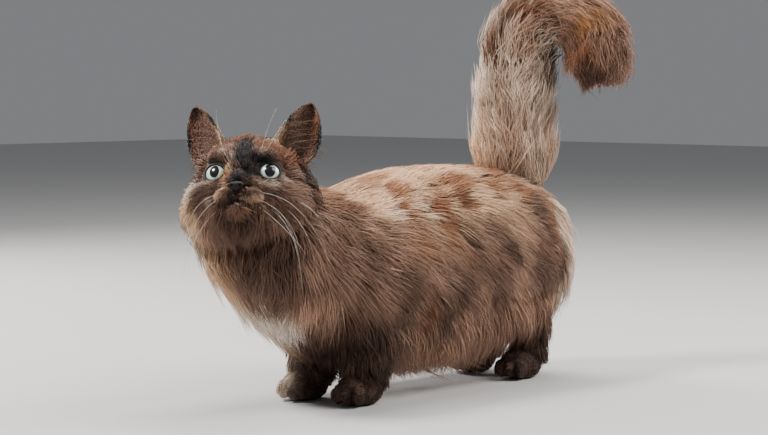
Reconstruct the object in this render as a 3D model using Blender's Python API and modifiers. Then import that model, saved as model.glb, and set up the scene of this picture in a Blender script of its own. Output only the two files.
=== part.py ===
"""A long-haired munchkin cat, life size: it stands with its head turned to its left and its tail raised.

The cat faces -Y, its left side is +X, and +Z is up from the floor at z = 0.
"""

import copy
import math
import random
from collections import namedtuple

import bmesh
import bpy
import numpy as np
from mathutils import Matrix, Vector

MM = 0.001

# Driving sizes of the whole cat.
GAP = 0.3 * MM
COAT_SEED = 7
MIDDLE = Vector((0.0139, -0.0233, 0.0))
FAR = 1.0
ROOM = 0.35

# The pose of the head: where its middle is, and how it turns, looks up and leans.
HEAD_CENTRE = Vector((0.0048, -0.2065, 0.182))
HEAD_TURN, HEAD_LIFT, HEAD_LEAN = 35.5, 25.6, 1.9

# Eyes, nose, ears and the head's form, in millimetres from the head's middle, as left, back, up.
EYE_PLACE, EYE_RADIUS = (20.4, -20.5, 5.6), 11.0
EYE_OPENING = (9.4, 9.0, 7.7)
LID_THICK = 1.6
NOSE_PLACE, NOSE_SIZE = (0.0, -49.5, -14.5), (7.2, 5.0, 4.8)
NOSTRIL_PLACE, NOSTRIL_SIZE = (3.4, -54.0, -15.4), (1.5, 2.6, 1.1)
EAR_BASE, EAR_TIP = (34.0, 6.0, 31.0), (46.0, 4.0, 80.0)
EAR_HALF_WIDTH, EAR_CUP, EAR_THICK = 18.5, 11.0, 2.4
EAR_FACING, EAR_ROOT = (0.42, -1.0, 0.10), 0.16
MOUTH_WIRE = 0.9
HEAD_FORMS = {
    "cranium": ((0, 6, 6), (40, 42, 38)),
    "crown": ((0, 2, 18), (37, 32, 28)),
    "cheek_left": ((22, -2, -13), (28, 31, 24)),
    "cheek_right": ((-22, -2, -13), (28, 31, 24)),
    "pad_left": ((9, -39, -20), (12.5, 13, 10)),
    "pad_right": ((-9, -39, -20), (12.5, 13, 10)),
    "bridge": ((0, -35, -5), (9.5, 16.5, 11.5)),
    "chin": ((0, -35, -31), (11.5, 12, 8.5)),
    "jaw": ((0, -12, -27), (27, 30, 14)),
    "brow_left": ((17, -24, 19), (14, 12, 9)),
    "brow_right": ((-17, -24, 19), (14, 12, 9)),
}
FORM_BLEND = 2.2

# Each cheek's locks: where one starts, as degrees round from the nose and up, and how it runs on.
CHEEK_LOCKS = ((46, -34, 28, 4), (56, -22, 30, 8), (62, -6, 36, 12), (78, 6, 34, 10), (84, -12, 34, 8))
CHEEK_LOCK_SIZE, CHEEK_LOCK_LIFT = (18 * MM, 5 * MM), 8 * MM
LOCK_SINK = 3.5 * MM

# The neck leaves the torso at one thin cut and meets the head at another.
CHEST_CUT_POINT, CHEST_CUT_NORMAL = Vector((0, -0.100, 0.10)), Vector((0, -1, 0))
THROAT_CUT_POINT, THROAT_CUT_NORMAL = (0, 0, -23), (0, -0.50, 0.866)

# Stations of a form: its middle, half width, height above the middle and depth below it.
TORSO_STATIONS = (
    ((0, -0.152, 0.116), 0.030, 0.030, 0.028),
    ((0, -0.138, 0.113), 0.047, 0.049, 0.046),
    ((0, -0.112, 0.110), 0.057, 0.064, 0.062),
    ((0, -0.075, 0.110), 0.060, 0.072, 0.070),
    ((0, -0.030, 0.112), 0.059, 0.078, 0.075),
    ((0, 0.015, 0.113), 0.060, 0.080, 0.076),
    ((0, 0.060, 0.114), 0.062, 0.078, 0.074),
    ((0, 0.100, 0.116), 0.061, 0.072, 0.069),
    ((0, 0.134, 0.119), 0.055, 0.063, 0.060),
    ((0, 0.158, 0.122), 0.043, 0.049, 0.047),
    ((0, 0.171, 0.125), 0.023, 0.026, 0.025),
)
NECK_STATIONS = (
    ((0.000, -0.066, 0.098), 0.058, 0.074, 0.056),
    ((0.000, -0.112, 0.112), 0.058, 0.066, 0.058),
    ((0.000, -0.148, 0.130), 0.055, 0.050, 0.055),
    ((0.002, -0.178, 0.148), 0.052, 0.037, 0.050),
    ((0.005, -0.200, 0.162), 0.048, 0.030, 0.043),
    ((0.008, -0.214, 0.171), 0.034, 0.020, 0.026),
)

# The tail rises, folds over and hangs to its tip. Cuts part it at two of its stations.
TAIL_STATIONS = (
    ((0.000, 0.134, 0.160), 0.0195, 0.0195, 0.0195),
    ((0.000, 0.136, 0.195), 0.0215, 0.0215, 0.0215),
    ((0.000, 0.139, 0.235), 0.0225, 0.0225, 0.0225),
    ((0.001, 0.141, 0.275), 0.0220, 0.0220, 0.0220),
    ((0.005, 0.143, 0.308), 0.0210, 0.0210, 0.0210),
    ((0.018, 0.150, 0.330), 0.0200, 0.0200, 0.0200),
    ((0.037, 0.162, 0.336), 0.0190, 0.0190, 0.0190),
    ((0.055, 0.174, 0.325), 0.0185, 0.0185, 0.0185),
    ((0.063, 0.181, 0.304), 0.0180, 0.0180, 0.0180),
    ((0.066, 0.185, 0.286), 0.0130, 0.0130, 0.0130),
    ((0.067, 0.186, 0.278), 0.0060, 0.0060, 0.0060),
)
TAIL_CUTS = (4.15, 6.6)
TAIL_NAMES = ("tail_base", "tail_bend", "tail_tip")

# A tier of locks: the stations its rows start at and its angles round the form from the back, in
# degrees. Then how far a lock runs along in stations, its width and thickness and its lift in
# millimetres, how many degrees it drifts round, and how far its tip hangs, in metres.
Tier = namedtuple("Tier", "rows angles reach size lift turn hang", defaults=(0, (0, 0, 0)))
RUFF = Tier((4.4, 3.7, 3.0, 2.3, 1.6), (106, 130, 154, 178, 202, 226, 250), -0.95, (25, 5.5), 10,
            0, (0, -0.003, -0.012))
BIB = Tier((1.15,), (130, 154, 178, 202, 226, 250), -0.6, (20, 5), 9, 0, (0, -0.006, -0.020))
NECK_SIDE = Tier((3.8, 3.0, 2.2), (56, 82), -1.0, (24, 5), 7, 12, (0, 0.002, -0.006))
NAPE = Tier((3.2, 2.3), (-26, 4), -1.1, (26, 4.5), 3.5)
BACK = Tier((2.3, 3.5, 4.7, 5.9, 7.1), (-54, -18, 18), 1.5, (32, 5), 4)
FLANK = Tier((2.6, 3.8, 5.0, 6.2, 7.4), (62, 92), 1.4, (32, 5.5), 7.5, 16, (0, 0.002, -0.006))
FRINGE = Tier((2.6, 3.2, 3.8, 4.4, 5.0, 5.6, 6.2, 6.8), (118,), 0.55, (25, 5.5), 20, 24,
              (0, 0.004, -0.011))
BELLY = Tier((2.9, 3.6, 4.3, 5.0, 5.7, 6.4), (148,), 0.5, (22, 5), 13, 14, (0, 0.005, -0.010))
BREECHES = Tier((8.5, 9.1), (38, 72, 106, 140), 0.3, (22, 6), 9, 14, (0, 0.006, -0.022))
TAIL_ROUND = (0, 60, 120, 180, 240, 300)
TAIL_TIERS = {
    "tail_base": Tier((0.75, 1.3, 1.85, 2.4, 2.95, 3.4), TAIL_ROUND, 1.1, (24, 5), 18),
    "tail_bend": Tier((4.3, 4.95, 5.6), TAIL_ROUND, 1.15, (24, 5), 17),
    "tail_tip": Tier((6.75, 7.5, 8.2), TAIL_ROUND, 1.2, (24, 5), 16),
}
TAIL_END = Tier((8.9,), TAIL_ROUND[::2], 0.7, (17, 5), 14, 0, (0.001, 0, -0.012))
TAIL_OVERLAP = 0.4

# Places of the paws, and a leg's stations: height, place behind the paw, half width, half depth.
FORE_PAWS = {"left": Vector((0.029, -0.101, 0)), "right": Vector((-0.026, -0.111, 0))}
HIND_PAWS = {"left": Vector((0.029, 0.113, 0)), "right": Vector((-0.030, 0.118, 0))}
FORE_LEG = (
    (0.105, 0.012, 0.019, 0.021),
    (0.080, 0.012, 0.022, 0.025),
    (0.052, 0.010, 0.021, 0.023),
    (0.030, 0.008, 0.018, 0.019),
    (0.012, 0.008, 0.016, 0.016),
)
HIND_LEG = (
    (0.112, 0.000, 0.020, 0.030),
    (0.086, -0.001, 0.024, 0.033),
    (0.062, 0.007, 0.021, 0.026),
    (0.040, 0.014, 0.0165, 0.018),
    (0.012, 0.011, 0.0150, 0.0155),
)
WRIST_HEIGHT = 0.027
PAW_SIZE = (0.0178, 0.0240, 0.0165)
PAW_RISE = 0.0128
TOE_SIZE = (0.0066, 0.0090, 0.0085)
TOE_DROP = 0.0036
TOE_FAN = {-33: 0.0185, -11: 0.0205, 11: 0.0205, 33: 0.0185}

COAT_COLOURS = {
    "fawn": (0.36, 0.23, 0.15),
    "cream": (0.62, 0.47, 0.33),
    "seal": (0.11, 0.07, 0.05),
    "nose_leather": (0.02, 0.015, 0.014),
    "iris": (0.55, 0.68, 0.57),
}


def clear_scene():
    """Removes every object that the startup file holds."""
    for found in list(bpy.data.objects):
        bpy.data.objects.remove(found, do_unlink=True)


def new_collection(name):
    """A collection linked to the scene."""
    made = bpy.data.collections.new(name)
    bpy.context.scene.collection.children.link(made)
    return made


def plain_material(name, roughness):
    """A Principled material in one of the coat's colours."""
    made = bpy.data.materials.new(name)
    made.use_nodes = True
    shader = made.node_tree.nodes["Principled BSDF"]
    shader.inputs["Base Color"].default_value = (*COAT_COLOURS[name], 1)
    shader.inputs["Roughness"].default_value = roughness
    shader.inputs["Metallic"].default_value = 0
    return made


def object_from(bm, name, collection):
    """Turns a bmesh into an object in a collection, with its faces pointing out."""
    bm.normal_update()
    bmesh.ops.recalc_face_normals(bm, faces=bm.faces)
    mesh = bpy.data.meshes.new(name)
    bm.to_mesh(mesh)
    bm.free()
    made = bpy.data.objects.new(name, mesh)
    collection.objects.link(made)
    return made


def baked(obj):
    """Applies an object's modifiers to its mesh."""
    bpy.context.view_layer.update()
    graph = bpy.context.evaluated_depsgraph_get()
    mesh = bpy.data.meshes.new_from_object(obj.evaluated_get(graph))
    obj.modifiers.clear()
    old = obj.data
    obj.data = mesh
    bpy.data.meshes.remove(old)
    return obj


def joined(obj, pieces):
    """Fuses an object with every object of a collection, and removes those."""
    if pieces.objects:
        union = obj.modifiers.new("fuse", "BOOLEAN")
        union.operation = "UNION"
        union.operand_type = "COLLECTION"
        union.collection = pieces
        union.solver = "MANIFOLD"
        baked(obj)
    for piece in list(pieces.objects):
        bpy.data.objects.remove(piece, do_unlink=True)
    bpy.data.collections.remove(pieces)
    return obj


def carved(obj, cutter, operation="DIFFERENCE"):
    """Cuts an object by another one, and removes that one."""
    cut = obj.modifiers.new("cut", "BOOLEAN")
    cut.operation = operation
    cut.object = cutter
    cut.solver = "MANIFOLD"
    baked(obj)
    bpy.data.objects.remove(cutter, do_unlink=True)
    return obj


def kept_side(obj, point, normal, helpers):
    """Keeps what lies half a gap or more beyond a plane, on the side that its normal shows."""
    direction = Vector(normal).normalized()
    bm = bmesh.new()
    bmesh.ops.create_cube(bm, size=FAR)
    turn = direction.to_track_quat("Z", "Y").to_matrix().to_4x4()
    middle = Vector(point) + direction * (FAR / 2 + GAP / 2)
    bmesh.ops.transform(bm, matrix=Matrix.Translation(middle) @ turn, verts=bm.verts)
    return carved(obj, object_from(bm, "half_space", helpers), "INTERSECT")


def largest_surface(obj):
    """Keeps only the closed surface with the most faces."""
    bm = bmesh.new()
    bm.from_mesh(obj.data)
    left, shells = set(bm.faces), []
    while left:
        shell, edge = set(), [left.pop()]
        while edge:
            face = edge.pop()
            shell.add(face)
            near = {f for e in face.edges for f in e.link_faces if f in left}
            left -= near
            edge.extend(near)
        shells.append(shell)
    shells.sort(key=len)
    loose = [face for shell in shells[:-1] for face in shell]
    bmesh.ops.delete(bm, geom=loose, context="FACES")
    bm.to_mesh(obj.data)
    bm.free()
    return obj


def ball(name, centre, radii, collection, turn=None, segments=16, rings=10):
    """A sphere primitive stretched to three radii, turned and moved into place."""
    bm = bmesh.new()
    bmesh.ops.create_uvsphere(bm, u_segments=segments, v_segments=rings, radius=1)
    stretch = Matrix.Diagonal((*radii, 1))
    place = Matrix.Translation(centre) @ (turn or Matrix.Identity(4)) @ stretch
    bmesh.ops.transform(bm, matrix=place, verts=bm.verts)
    return object_from(bm, name, collection)


class Tube:
    """A round form along a smooth line of stations, each with its middle and three half sizes.

    Angle 0 is the form's back, a quarter turn is one of its sides and a half turn its underside.
    """

    def __init__(self, stations, up):
        self.rows = np.array([[*middle, *sizes] for middle, *sizes in stations], float)
        self.up = Vector(up)

    def row(self, station):
        """All the values at a station, from a curve through the rows by Catmull and Rom's rule."""
        last = len(self.rows) - 1
        station = min(max(station, 0.0), last)
        first = min(int(station), last - 1)
        t = station - first
        before, here = self.rows[max(first - 1, 0)], self.rows[first]
        there, after = self.rows[first + 1], self.rows[min(first + 2, last)]
        straight, bend = (there - before) * t, (2 * before - 5 * here + 4 * there - after) * t * t
        return here + 0.5 * (straight + bend + (3 * here - before - 3 * there + after) * t**3)

    def point(self, station, angle):
        """The surface's point at a station and an angle."""
        step = 0.02
        row, ahead, behind = self.row(station), self.row(station + step), self.row(station - step)
        along = Vector(ahead[:3] - behind[:3]).normalized()
        side = along.cross(self.up).normalized()
        up = side.cross(along)
        height = row[4] if math.cos(angle) > 0 else row[5]
        return Vector(row[:3]) - side * (row[3] * math.sin(angle)) + up * (height * math.cos(angle))

    def normal(self, station, angle):
        """The way out of the surface there, square to it."""
        step = 0.03
        along = self.point(station + step, angle) - self.point(station - step, angle)
        round_it = self.point(station, angle + step) - self.point(station, angle - step)
        out = self.point(station, angle) - Vector(self.row(station)[:3])
        found = along.cross(round_it).normalized()
        return found if found.dot(out) > 0 else -found

    def grown(self, amount):
        """The same form with every half size larger, and a little longer at each end."""
        wider = copy.copy(self)
        wider.rows = self.rows.copy()
        wider.rows[:, 3:] += amount
        for end, inner in ((0, 1), (-1, -2)):
            away = wider.rows[end, :3] - wider.rows[inner, :3]
            wider.rows[end, :3] += away / np.linalg.norm(away) * amount
        return wider

    def solid(self, name, collection, segments=24, rings=None, span=None):
        """A closed loft of rings of points, each end closed by a fan about its middle."""
        first, last = span or (0.0, len(self.rows) - 1.0)
        count = rings or len(self.rows)
        stations = np.linspace(first, last, count)
        bm = bmesh.new()
        loops = []
        for station in stations:
            angles = [2 * math.pi * k / segments for k in range(segments)]
            loops.append([bm.verts.new(self.point(station, a)) for a in angles])
        for lower, upper in zip(loops, loops[1:]):
            for k in range(segments):
                after = (k + 1) % segments
                bm.faces.new((lower[k], lower[after], upper[after], upper[k]))
        for loop, station in ((loops[0], first), (loops[-1], last)):
            hub = bm.verts.new(self.row(station)[:3])
            for k in range(segments):
                bm.faces.new((loop[k], loop[(k + 1) % segments], hub))
        return object_from(bm, name, collection)


def lock(form, root, tip, size, lift, collection, hang=(0, 0, 0)):
    """A flat lock that tapers from its root to a point and lies along a form.

    Its line runs over the form from one station and angle to another. It starts below the surface
    and rises to the lift, and hang is how far its tip moves further. size is its width and its
    thickness. Each ring is a flat triangle with its ridge outwards.
    """
    width, thick = size

    def line(share):
        station = root[0] + (tip[0] - root[0]) * share
        angle = root[1] + (tip[1] - root[1]) * share
        out = form.normal(station, angle)
        rise = -LOCK_SINK + (lift + LOCK_SINK) * (1 - (1 - share) ** 2)
        return form.point(station, angle) + out * rise + Vector(hang) * share**2, out

    bm = bmesh.new()
    loops = []
    for share, part in ((0.0, 0.75), (0.36, 1.0), (0.72, 0.66)):
        here, out = line(share)
        ahead = (line(share + 0.05)[0] - here).normalized()
        side = ahead.cross(out).normalized() * (width * part / 2)
        deep = side.cross(ahead).normalized() * (thick * part / 2)
        loops.append([bm.verts.new(here + v) for v in (side - deep, deep, -side - deep)])
    end = bm.verts.new(line(1.0)[0])
    for lower, upper in zip(loops, loops[1:]):
        for k in range(3):
            after = (k + 1) % 3
            bm.faces.new((lower[k], lower[after], upper[after], upper[k]))
    for k in range(3):
        bm.faces.new((loops[-1][k], loops[-1][(k + 1) % 3], end))
    bm.faces.new(reversed(loops[0]))
    return object_from(bm, "lock", collection)


def head_matrix():
    """Takes millimetres from the head's middle, as left, back and up, to the cat's own metres."""
    turn = Matrix.Rotation(math.radians(HEAD_TURN), 4, "Z")
    nod = Matrix.Rotation(math.radians(-HEAD_LIFT), 4, "X")
    lean = Matrix.Rotation(math.radians(-HEAD_LEAN), 4, "Y")
    return Matrix.Translation(HEAD_CENTRE) @ turn @ nod @ lean @ Matrix.Scale(MM, 4)


HEAD = head_matrix()


def head_reach(direction):
    """How far the head's surface is from its middle along a direction, in millimetres.

    It is a smooth greatest value over the distances at which the ray leaves each rounded form.
    """
    total = 0.0
    for centre, radii in HEAD_FORMS.values():
        ray = np.array(direction) / np.array(radii)
        start = -np.array(centre, float) / np.array(radii)
        a, b, c = ray @ ray, ray @ start, start @ start - 1
        inside = b * b - a * c
        if inside > 0:
            total += math.exp((-b + math.sqrt(inside)) / a / FORM_BLEND)
    return FORM_BLEND * math.log(total)


def head_point(turn, rise):
    """The head's surface point at a turn from its nose to its left, and a rise, in degrees."""
    t, r = math.radians(turn), math.radians(rise)
    direction = (math.sin(t) * math.cos(r), -math.cos(t) * math.cos(r), math.sin(r))
    return Vector(direction) * head_reach(direction)


class HeadForm:
    """The head's surface as a form for locks: its station is the turn and its angle the rise."""

    def point(self, turn, rise):
        """The surface's point at a turn and a rise."""
        return HEAD @ head_point(turn, rise)

    def normal(self, turn, rise):
        """The way out of the surface there, square to it."""
        step = 2.0
        across = self.point(turn + step, rise) - self.point(turn - step, rise)
        upward = self.point(turn, rise + step) - self.point(turn, rise - step)
        out = self.point(turn, rise) - HEAD_CENTRE
        found = across.cross(upward).normalized()
        return found if found.dot(out) > 0 else -found


def head_core(collection):
    """A sphere primitive with its pole at the nose, drawn finer there and moved onto the head's surface."""
    front_crowding = 1.35
    bm = bmesh.new()
    bmesh.ops.create_uvsphere(bm, u_segments=28, v_segments=19, radius=1)
    for vert in bm.verts:
        polar = math.pi * (math.acos(max(-1, min(1, vert.co.z))) / math.pi) ** front_crowding
        round_it = math.atan2(vert.co.y, vert.co.x)
        ring = math.sin(polar)
        direction = (ring * math.cos(round_it), -math.cos(polar), ring * math.sin(round_it))
        vert.co = HEAD @ (Vector(direction) * head_reach(direction))
    return object_from(bm, "head", collection)


def mirrored(place, side):
    """A place on the head's left, or its image on the right."""
    return Vector((place[0] * side, place[1], place[2]))


def head_ball(name, place, radii, side, collection, segments=16, rings=10, spin=0.0):
    """A stretched sphere set in the head, its place and radii in millimetres."""
    turn = Matrix.Rotation(math.radians(spin * side), 4, "Z")
    made = ball(name, mirrored(place, side), radii, collection, turn, segments, rings)
    made.data.transform(HEAD)
    return made


def ear(side, name, collection, room=0.0):
    """The cup of an ear: a bowed leaf with a rounded tip, given its thickness both ways.

    With some room it is the slot that the ear stands in: thicker, wider and deeper by that much.
    """
    base, tip = mirrored(EAR_BASE, side), mirrored(EAR_TIP, side)
    up = (tip - base).normalized()
    facing = mirrored(EAR_FACING, side)
    facing = (facing - up * facing.dot(up)).normalized()
    across = up.cross(facing).normalized()
    across *= 1 if across.x * side > 0 else -1
    height = (tip - base).length
    columns = [s / 3 for s in range(-3, 4)]
    rows = [-EAR_ROOT + (1 + EAR_ROOT) * t / 6 for t in range(7)]
    if room:
        columns = [-1 - room / EAR_HALF_WIDTH, *columns, 1 + room / EAR_HALF_WIDTH]
        rows = [rows[0] - room / height, *rows]
    bm = bmesh.new()
    grid = []
    for t in rows:
        wide = EAR_HALF_WIDTH * (1 - max(t, 0) ** 1.7) ** 0.8 * (1 + 0.10 * t) + 1.2
        bowl = EAR_CUP * (1 - 0.55 * max(t, 0))
        line = []
        for s in columns:
            back = bowl * (1 - s * s) - 3.0 * t
            at = base + up * (t * height - 2.0 * s * s) + across * (s * wide) - facing * back
            line.append(bm.verts.new(HEAD @ at))
        grid.append(line)
    for low, high in zip(grid, grid[1:]):
        for k in range(len(columns) - 1):
            bm.faces.new((low[k], low[k + 1], high[k + 1], high[k]))
    made = object_from(bm, name, collection)
    wall = made.modifiers.new("wall", "SOLIDIFY")
    wall.thickness = (EAR_THICK + 2 * room) * MM
    wall.offset = 0
    return baked(made)


def mouth_cutter(helpers):
    """A thin wire along the line of the mouth: down from the nose, then out under each pad."""
    lines = [
        [(0, -24 - 3.0 * k) for k in range(4)],
        *[[(side * 7.0 * k, -33 - 2.2 * k + 0.95 * k * k) for k in range(6)] for side in (1, -1)],
    ]
    for number, line in enumerate(lines):
        curve = bpy.data.curves.new("mouth", "CURVE")
        curve.dimensions = "3D"
        curve.bevel_depth = MOUTH_WIRE * MM
        curve.bevel_resolution = 0
        curve.use_fill_caps = True
        spline = curve.splines.new("POLY")
        spline.points.add(len(line) - 1)
        for knot, (turn, rise) in zip(spline.points, line):
            knot.co = (*(HEAD @ head_point(turn, rise)), 1)
        wire = bpy.data.objects.new(f"mouth_wire_{number}", curve)
        helpers.objects.link(wire)
        bpy.context.view_layer.update()
        graph = bpy.context.evaluated_depsgraph_get()
        mesh = bpy.data.meshes.new_from_object(wire.evaluated_get(graph))
        bm = bmesh.new()
        bm.from_mesh(mesh)
        bmesh.ops.remove_doubles(bm, verts=bm.verts, dist=0.01 * MM)
        bpy.data.objects.remove(wire, do_unlink=True)
        yield object_from(bm, f"mouth_cut_{number}", helpers)


def build_head(cat, helpers):
    """The head with its lids, mouth line and cheek tufts, the eyes, the nose and the ears."""
    pieces = new_collection("head_pieces")
    head = head_core(cat)
    for side in (1, -1):
        head_ball("lid", EYE_PLACE, [EYE_RADIUS + LID_THICK] * 3, side, pieces, 14, 9)
        for turn, rise, reach, drop in CHEEK_LOCKS:
            lock(HeadForm(), (side * turn, rise), (side * (turn + reach), rise - drop),
                 CHEEK_LOCK_SIZE, CHEEK_LOCK_LIFT, pieces)
    joined(head, pieces)
    for cutter in mouth_cutter(helpers):
        carved(head, cutter)
    kept_side(head, HEAD @ Vector(THROAT_CUT_POINT), HEAD.to_3x3() @ Vector(THROAT_CUT_NORMAL),
              helpers)
    nose = head_ball("nose", NOSE_PLACE, NOSE_SIZE, 1, cat, 12, 8)
    carved(head, head_ball("nose_cut", NOSE_PLACE, [r + 0.3 for r in NOSE_SIZE], 1, helpers, 12, 8))
    for side, name in ((1, "left"), (-1, "right")):
        carved(nose, head_ball("nostril", NOSTRIL_PLACE, NOSTRIL_SIZE, side, helpers, 8, 6, 30))
        eye = head_ball(f"eye_{name}", EYE_PLACE, [EYE_RADIUS] * 3, side, cat, 16, 10)
        eye.data.shade_smooth()
        carved(head, head_ball("socket", EYE_PLACE, [EYE_RADIUS + 0.4] * 3, side, helpers, 16, 10))
        front = (EYE_PLACE[0] + 2.2, EYE_PLACE[1] - EYE_RADIUS, EYE_PLACE[2] + 0.4)
        carved(head, head_ball("opening", front, EYE_OPENING, side, helpers, 16, 8, 14))
        ear(side, f"ear_{name}", cat)
        carved(head, ear(side, "ear_slot", helpers, ROOM))


def leg_form(paw, stations):
    """A leg's core from its top down to inside its paw."""
    places = [((paw.x * 0.98, paw.y + back, height), wide, deep, deep)
              for height, back, wide, deep in stations]
    return Tube(places, (0, -1, 0))


def rows_of_locks(form, pieces, draw, tier, side=1):
    """A tier's locks in rows along a form, every other row set half a step on round it.

    A side of -1 gives the tier's mirror image.
    """
    angles = [side * angle for angle in tier.angles]
    step = angles[1] - angles[0] if len(angles) > 1 else 0
    for number, station in enumerate(tier.rows):
        for angle in angles:
            where = station + draw.uniform(-0.12, 0.12)
            at = angle + (step / 2 if number % 2 else 0) + draw.uniform(-3, 3)
            grow = draw.uniform(0.86, 1.14)
            end = math.radians(at + side * tier.turn + draw.uniform(-4, 4))
            size = (tier.size[0] * grow * MM, tier.size[1] * MM)
            lock(form, (where, math.radians(at)), (where + tier.reach * grow, end),
                 size, tier.lift * grow * MM, pieces, tier.hang)


def build_neck(cat, helpers):
    """The neck with its ruff of overlapping locks, between the throat cut and the chest cut."""
    draw = random.Random(COAT_SEED)
    form = Tube(NECK_STATIONS, (0, 0.43, 0.9))
    neck = form.solid("neck", cat, 24, 12)
    pieces = new_collection("neck_pieces")
    rows_of_locks(form, pieces, draw, RUFF)
    rows_of_locks(form, pieces, draw, BIB)
    for side in (1, -1):
        rows_of_locks(form, pieces, draw, NECK_SIDE, side)
    rows_of_locks(form, pieces, draw, NAPE)
    joined(neck, pieces)
    kept_side(neck, CHEST_CUT_POINT, CHEST_CUT_NORMAL, helpers)
    return kept_side(neck, HEAD @ Vector(THROAT_CUT_POINT),
                     HEAD.to_3x3() @ -Vector(THROAT_CUT_NORMAL), helpers)


def build_torso(cat, helpers):
    """The torso with flat locks on the back and flanks, a long belly fringe and the breeches."""
    draw = random.Random(COAT_SEED + 1)
    form = Tube(TORSO_STATIONS, (0, 0, 1))
    torso = form.solid("torso", cat, 28, 18)
    pieces = new_collection("torso_pieces")
    rows_of_locks(form, pieces, draw, BACK)
    for side in (1, -1):
        for tier in (FLANK, FRINGE, BELLY, BREECHES):
            rows_of_locks(form, pieces, draw, tier, side)
    joined(torso, pieces)
    return kept_side(torso, CHEST_CUT_POINT, -CHEST_CUT_NORMAL, helpers)


def build_leg(name, paw, stations, cat, helpers, clear_of):
    """A leg and its paw with four toes, on a flat sole, and room for both in the pieces round them."""
    form = leg_form(paw, stations)
    limb = form.solid(name, cat, 12, 7)
    kept_side(limb, (0, 0, WRIST_HEIGHT), (0, 0, 1), helpers)
    foot_name = name.replace("leg", "paw")
    middle = paw + Vector((0, 0, PAW_RISE))
    foot = ball(foot_name, middle, PAW_SIZE, cat, None, 12, 8)
    pieces = new_collection("paw_pieces")
    form.solid("wrist", pieces, 12, 7)
    for degrees, reach in TOE_FAN.items():
        turn = Matrix.Rotation(math.radians(degrees), 4, "Z")
        at = middle + turn @ Vector((0, -reach, -TOE_DROP))
        ball("toe", at, TOE_SIZE, pieces, turn, 7, 5)
    joined(foot, pieces)
    kept_side(foot, (0, 0, -GAP / 2), (0, 0, 1), helpers)
    kept_side(foot, (0, 0, WRIST_HEIGHT), (0, 0, -1), helpers)
    for neighbour in clear_of:
        carved(neighbour, form.grown(GAP).solid("leg_room", helpers, 12, 7))


def build_tail(cat, helpers, torso):
    """The tail in three lengths, each with tiers of locks that stand out like a brush."""
    draw = random.Random(COAT_SEED + 4)
    form = Tube(TAIL_STATIONS, (0.45, -0.75, 0.1))
    last = len(TAIL_STATIONS) - 1.0
    for name, start, end in zip(TAIL_NAMES, (0.0, *TAIL_CUTS), (*TAIL_CUTS, last)):
        span = (max(start - TAIL_OVERLAP, 0), min(end + TAIL_OVERLAP, last))
        piece = form.solid(name, cat, 14, 8, span)
        pieces = new_collection("tail_pieces")
        rows_of_locks(form, pieces, draw, TAIL_TIERS[name])
        if end == last:
            rows_of_locks(form, pieces, draw, TAIL_END)
        joined(piece, pieces)
        for cut, sense in ((start, 1), (end, -1)):
            if cut in TAIL_CUTS:
                way = Vector(form.row(cut + 0.1)[:3] - form.row(cut - 0.1)[:3])
                kept_side(piece, form.row(cut)[:3], way * sense, helpers)
    room = form.grown(GAP).solid("tail_room", helpers, 14, 8, (0, TAIL_CUTS[0] + TAIL_OVERLAP))
    carved(torso, room)


def finish(obj, material):
    """Keeps an object's one closed surface, gives it its material and moves it to the cat's middle."""
    largest_surface(obj)
    obj.data.materials.clear()
    obj.data.materials.append(material)
    obj.location = -MIDDLE


def main():
    clear_scene()
    cat = new_collection("munchkin_cat")
    helpers = new_collection("helpers")
    build_head(cat, helpers)
    neck = build_neck(cat, helpers)
    torso = build_torso(cat, helpers)
    build_tail(cat, helpers, torso)
    for side in ("left", "right"):
        build_leg(f"foreleg_{side}", FORE_PAWS[side], FORE_LEG, cat, helpers, (torso, neck))
        build_leg(f"hindleg_{side}", HIND_PAWS[side], HIND_LEG, cat, helpers, (torso,))
    finishes = {
        "head": "seal", "ear_left": "seal", "ear_right": "seal", "nose": "nose_leather",
        "eye_left": "iris", "eye_right": "iris", "neck": "fawn", "torso": "fawn",
        "tail_base": "cream", "tail_bend": "cream", "tail_tip": "fawn",
    }
    roughness = {"iris": 0.1, "nose_leather": 0.4}
    made = {name: plain_material(name, roughness.get(name, 0.8)) for name in COAT_COLOURS}
    for obj in cat.objects:
        finish(obj, made[finishes.get(obj.name, "seal")])
    bpy.data.collections.remove(helpers)


main()
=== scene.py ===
"""The looks of a life-size, long-haired munchkin cat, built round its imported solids.

The cat faces -Y, its left side is +X and its soles stand at z = 0. Lengths are in metres, apart from
those of the head and the paws, which are millimetres as left, back and up from each one's middle.
"""

import itertools
import logging
import math
from collections.abc import Callable, Sequence
from dataclasses import dataclass, field
from enum import Enum

import bpy
import numpy as np
from mathutils import Matrix, Vector


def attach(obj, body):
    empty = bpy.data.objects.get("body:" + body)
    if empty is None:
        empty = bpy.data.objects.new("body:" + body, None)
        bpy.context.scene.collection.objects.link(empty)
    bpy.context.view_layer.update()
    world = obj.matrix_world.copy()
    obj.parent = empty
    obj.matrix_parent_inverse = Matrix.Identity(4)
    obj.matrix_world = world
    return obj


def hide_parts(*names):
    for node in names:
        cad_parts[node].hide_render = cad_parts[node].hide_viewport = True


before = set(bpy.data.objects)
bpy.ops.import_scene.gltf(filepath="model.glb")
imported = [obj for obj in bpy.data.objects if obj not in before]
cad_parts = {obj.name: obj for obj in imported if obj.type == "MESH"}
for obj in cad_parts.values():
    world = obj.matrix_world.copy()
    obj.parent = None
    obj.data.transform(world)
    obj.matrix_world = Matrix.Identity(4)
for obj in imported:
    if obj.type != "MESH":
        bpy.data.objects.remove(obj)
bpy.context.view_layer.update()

Array = np.ndarray
Pair = tuple[float, float]
Triple = tuple[float, float, float]
Faces = list[tuple[int, ...]]
Flow = Callable[[Array, Array, Array], Array]
LOG = logging.getLogger("cat")
MM = 0.001
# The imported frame's origin, in the cat's own coordinates
MIDDLE = np.array((0.0139, -0.0233, 0.0))
FLOOR_CLEARANCE = 0.6 * MM
ALL_ROUND = (-math.pi, math.pi)
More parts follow.
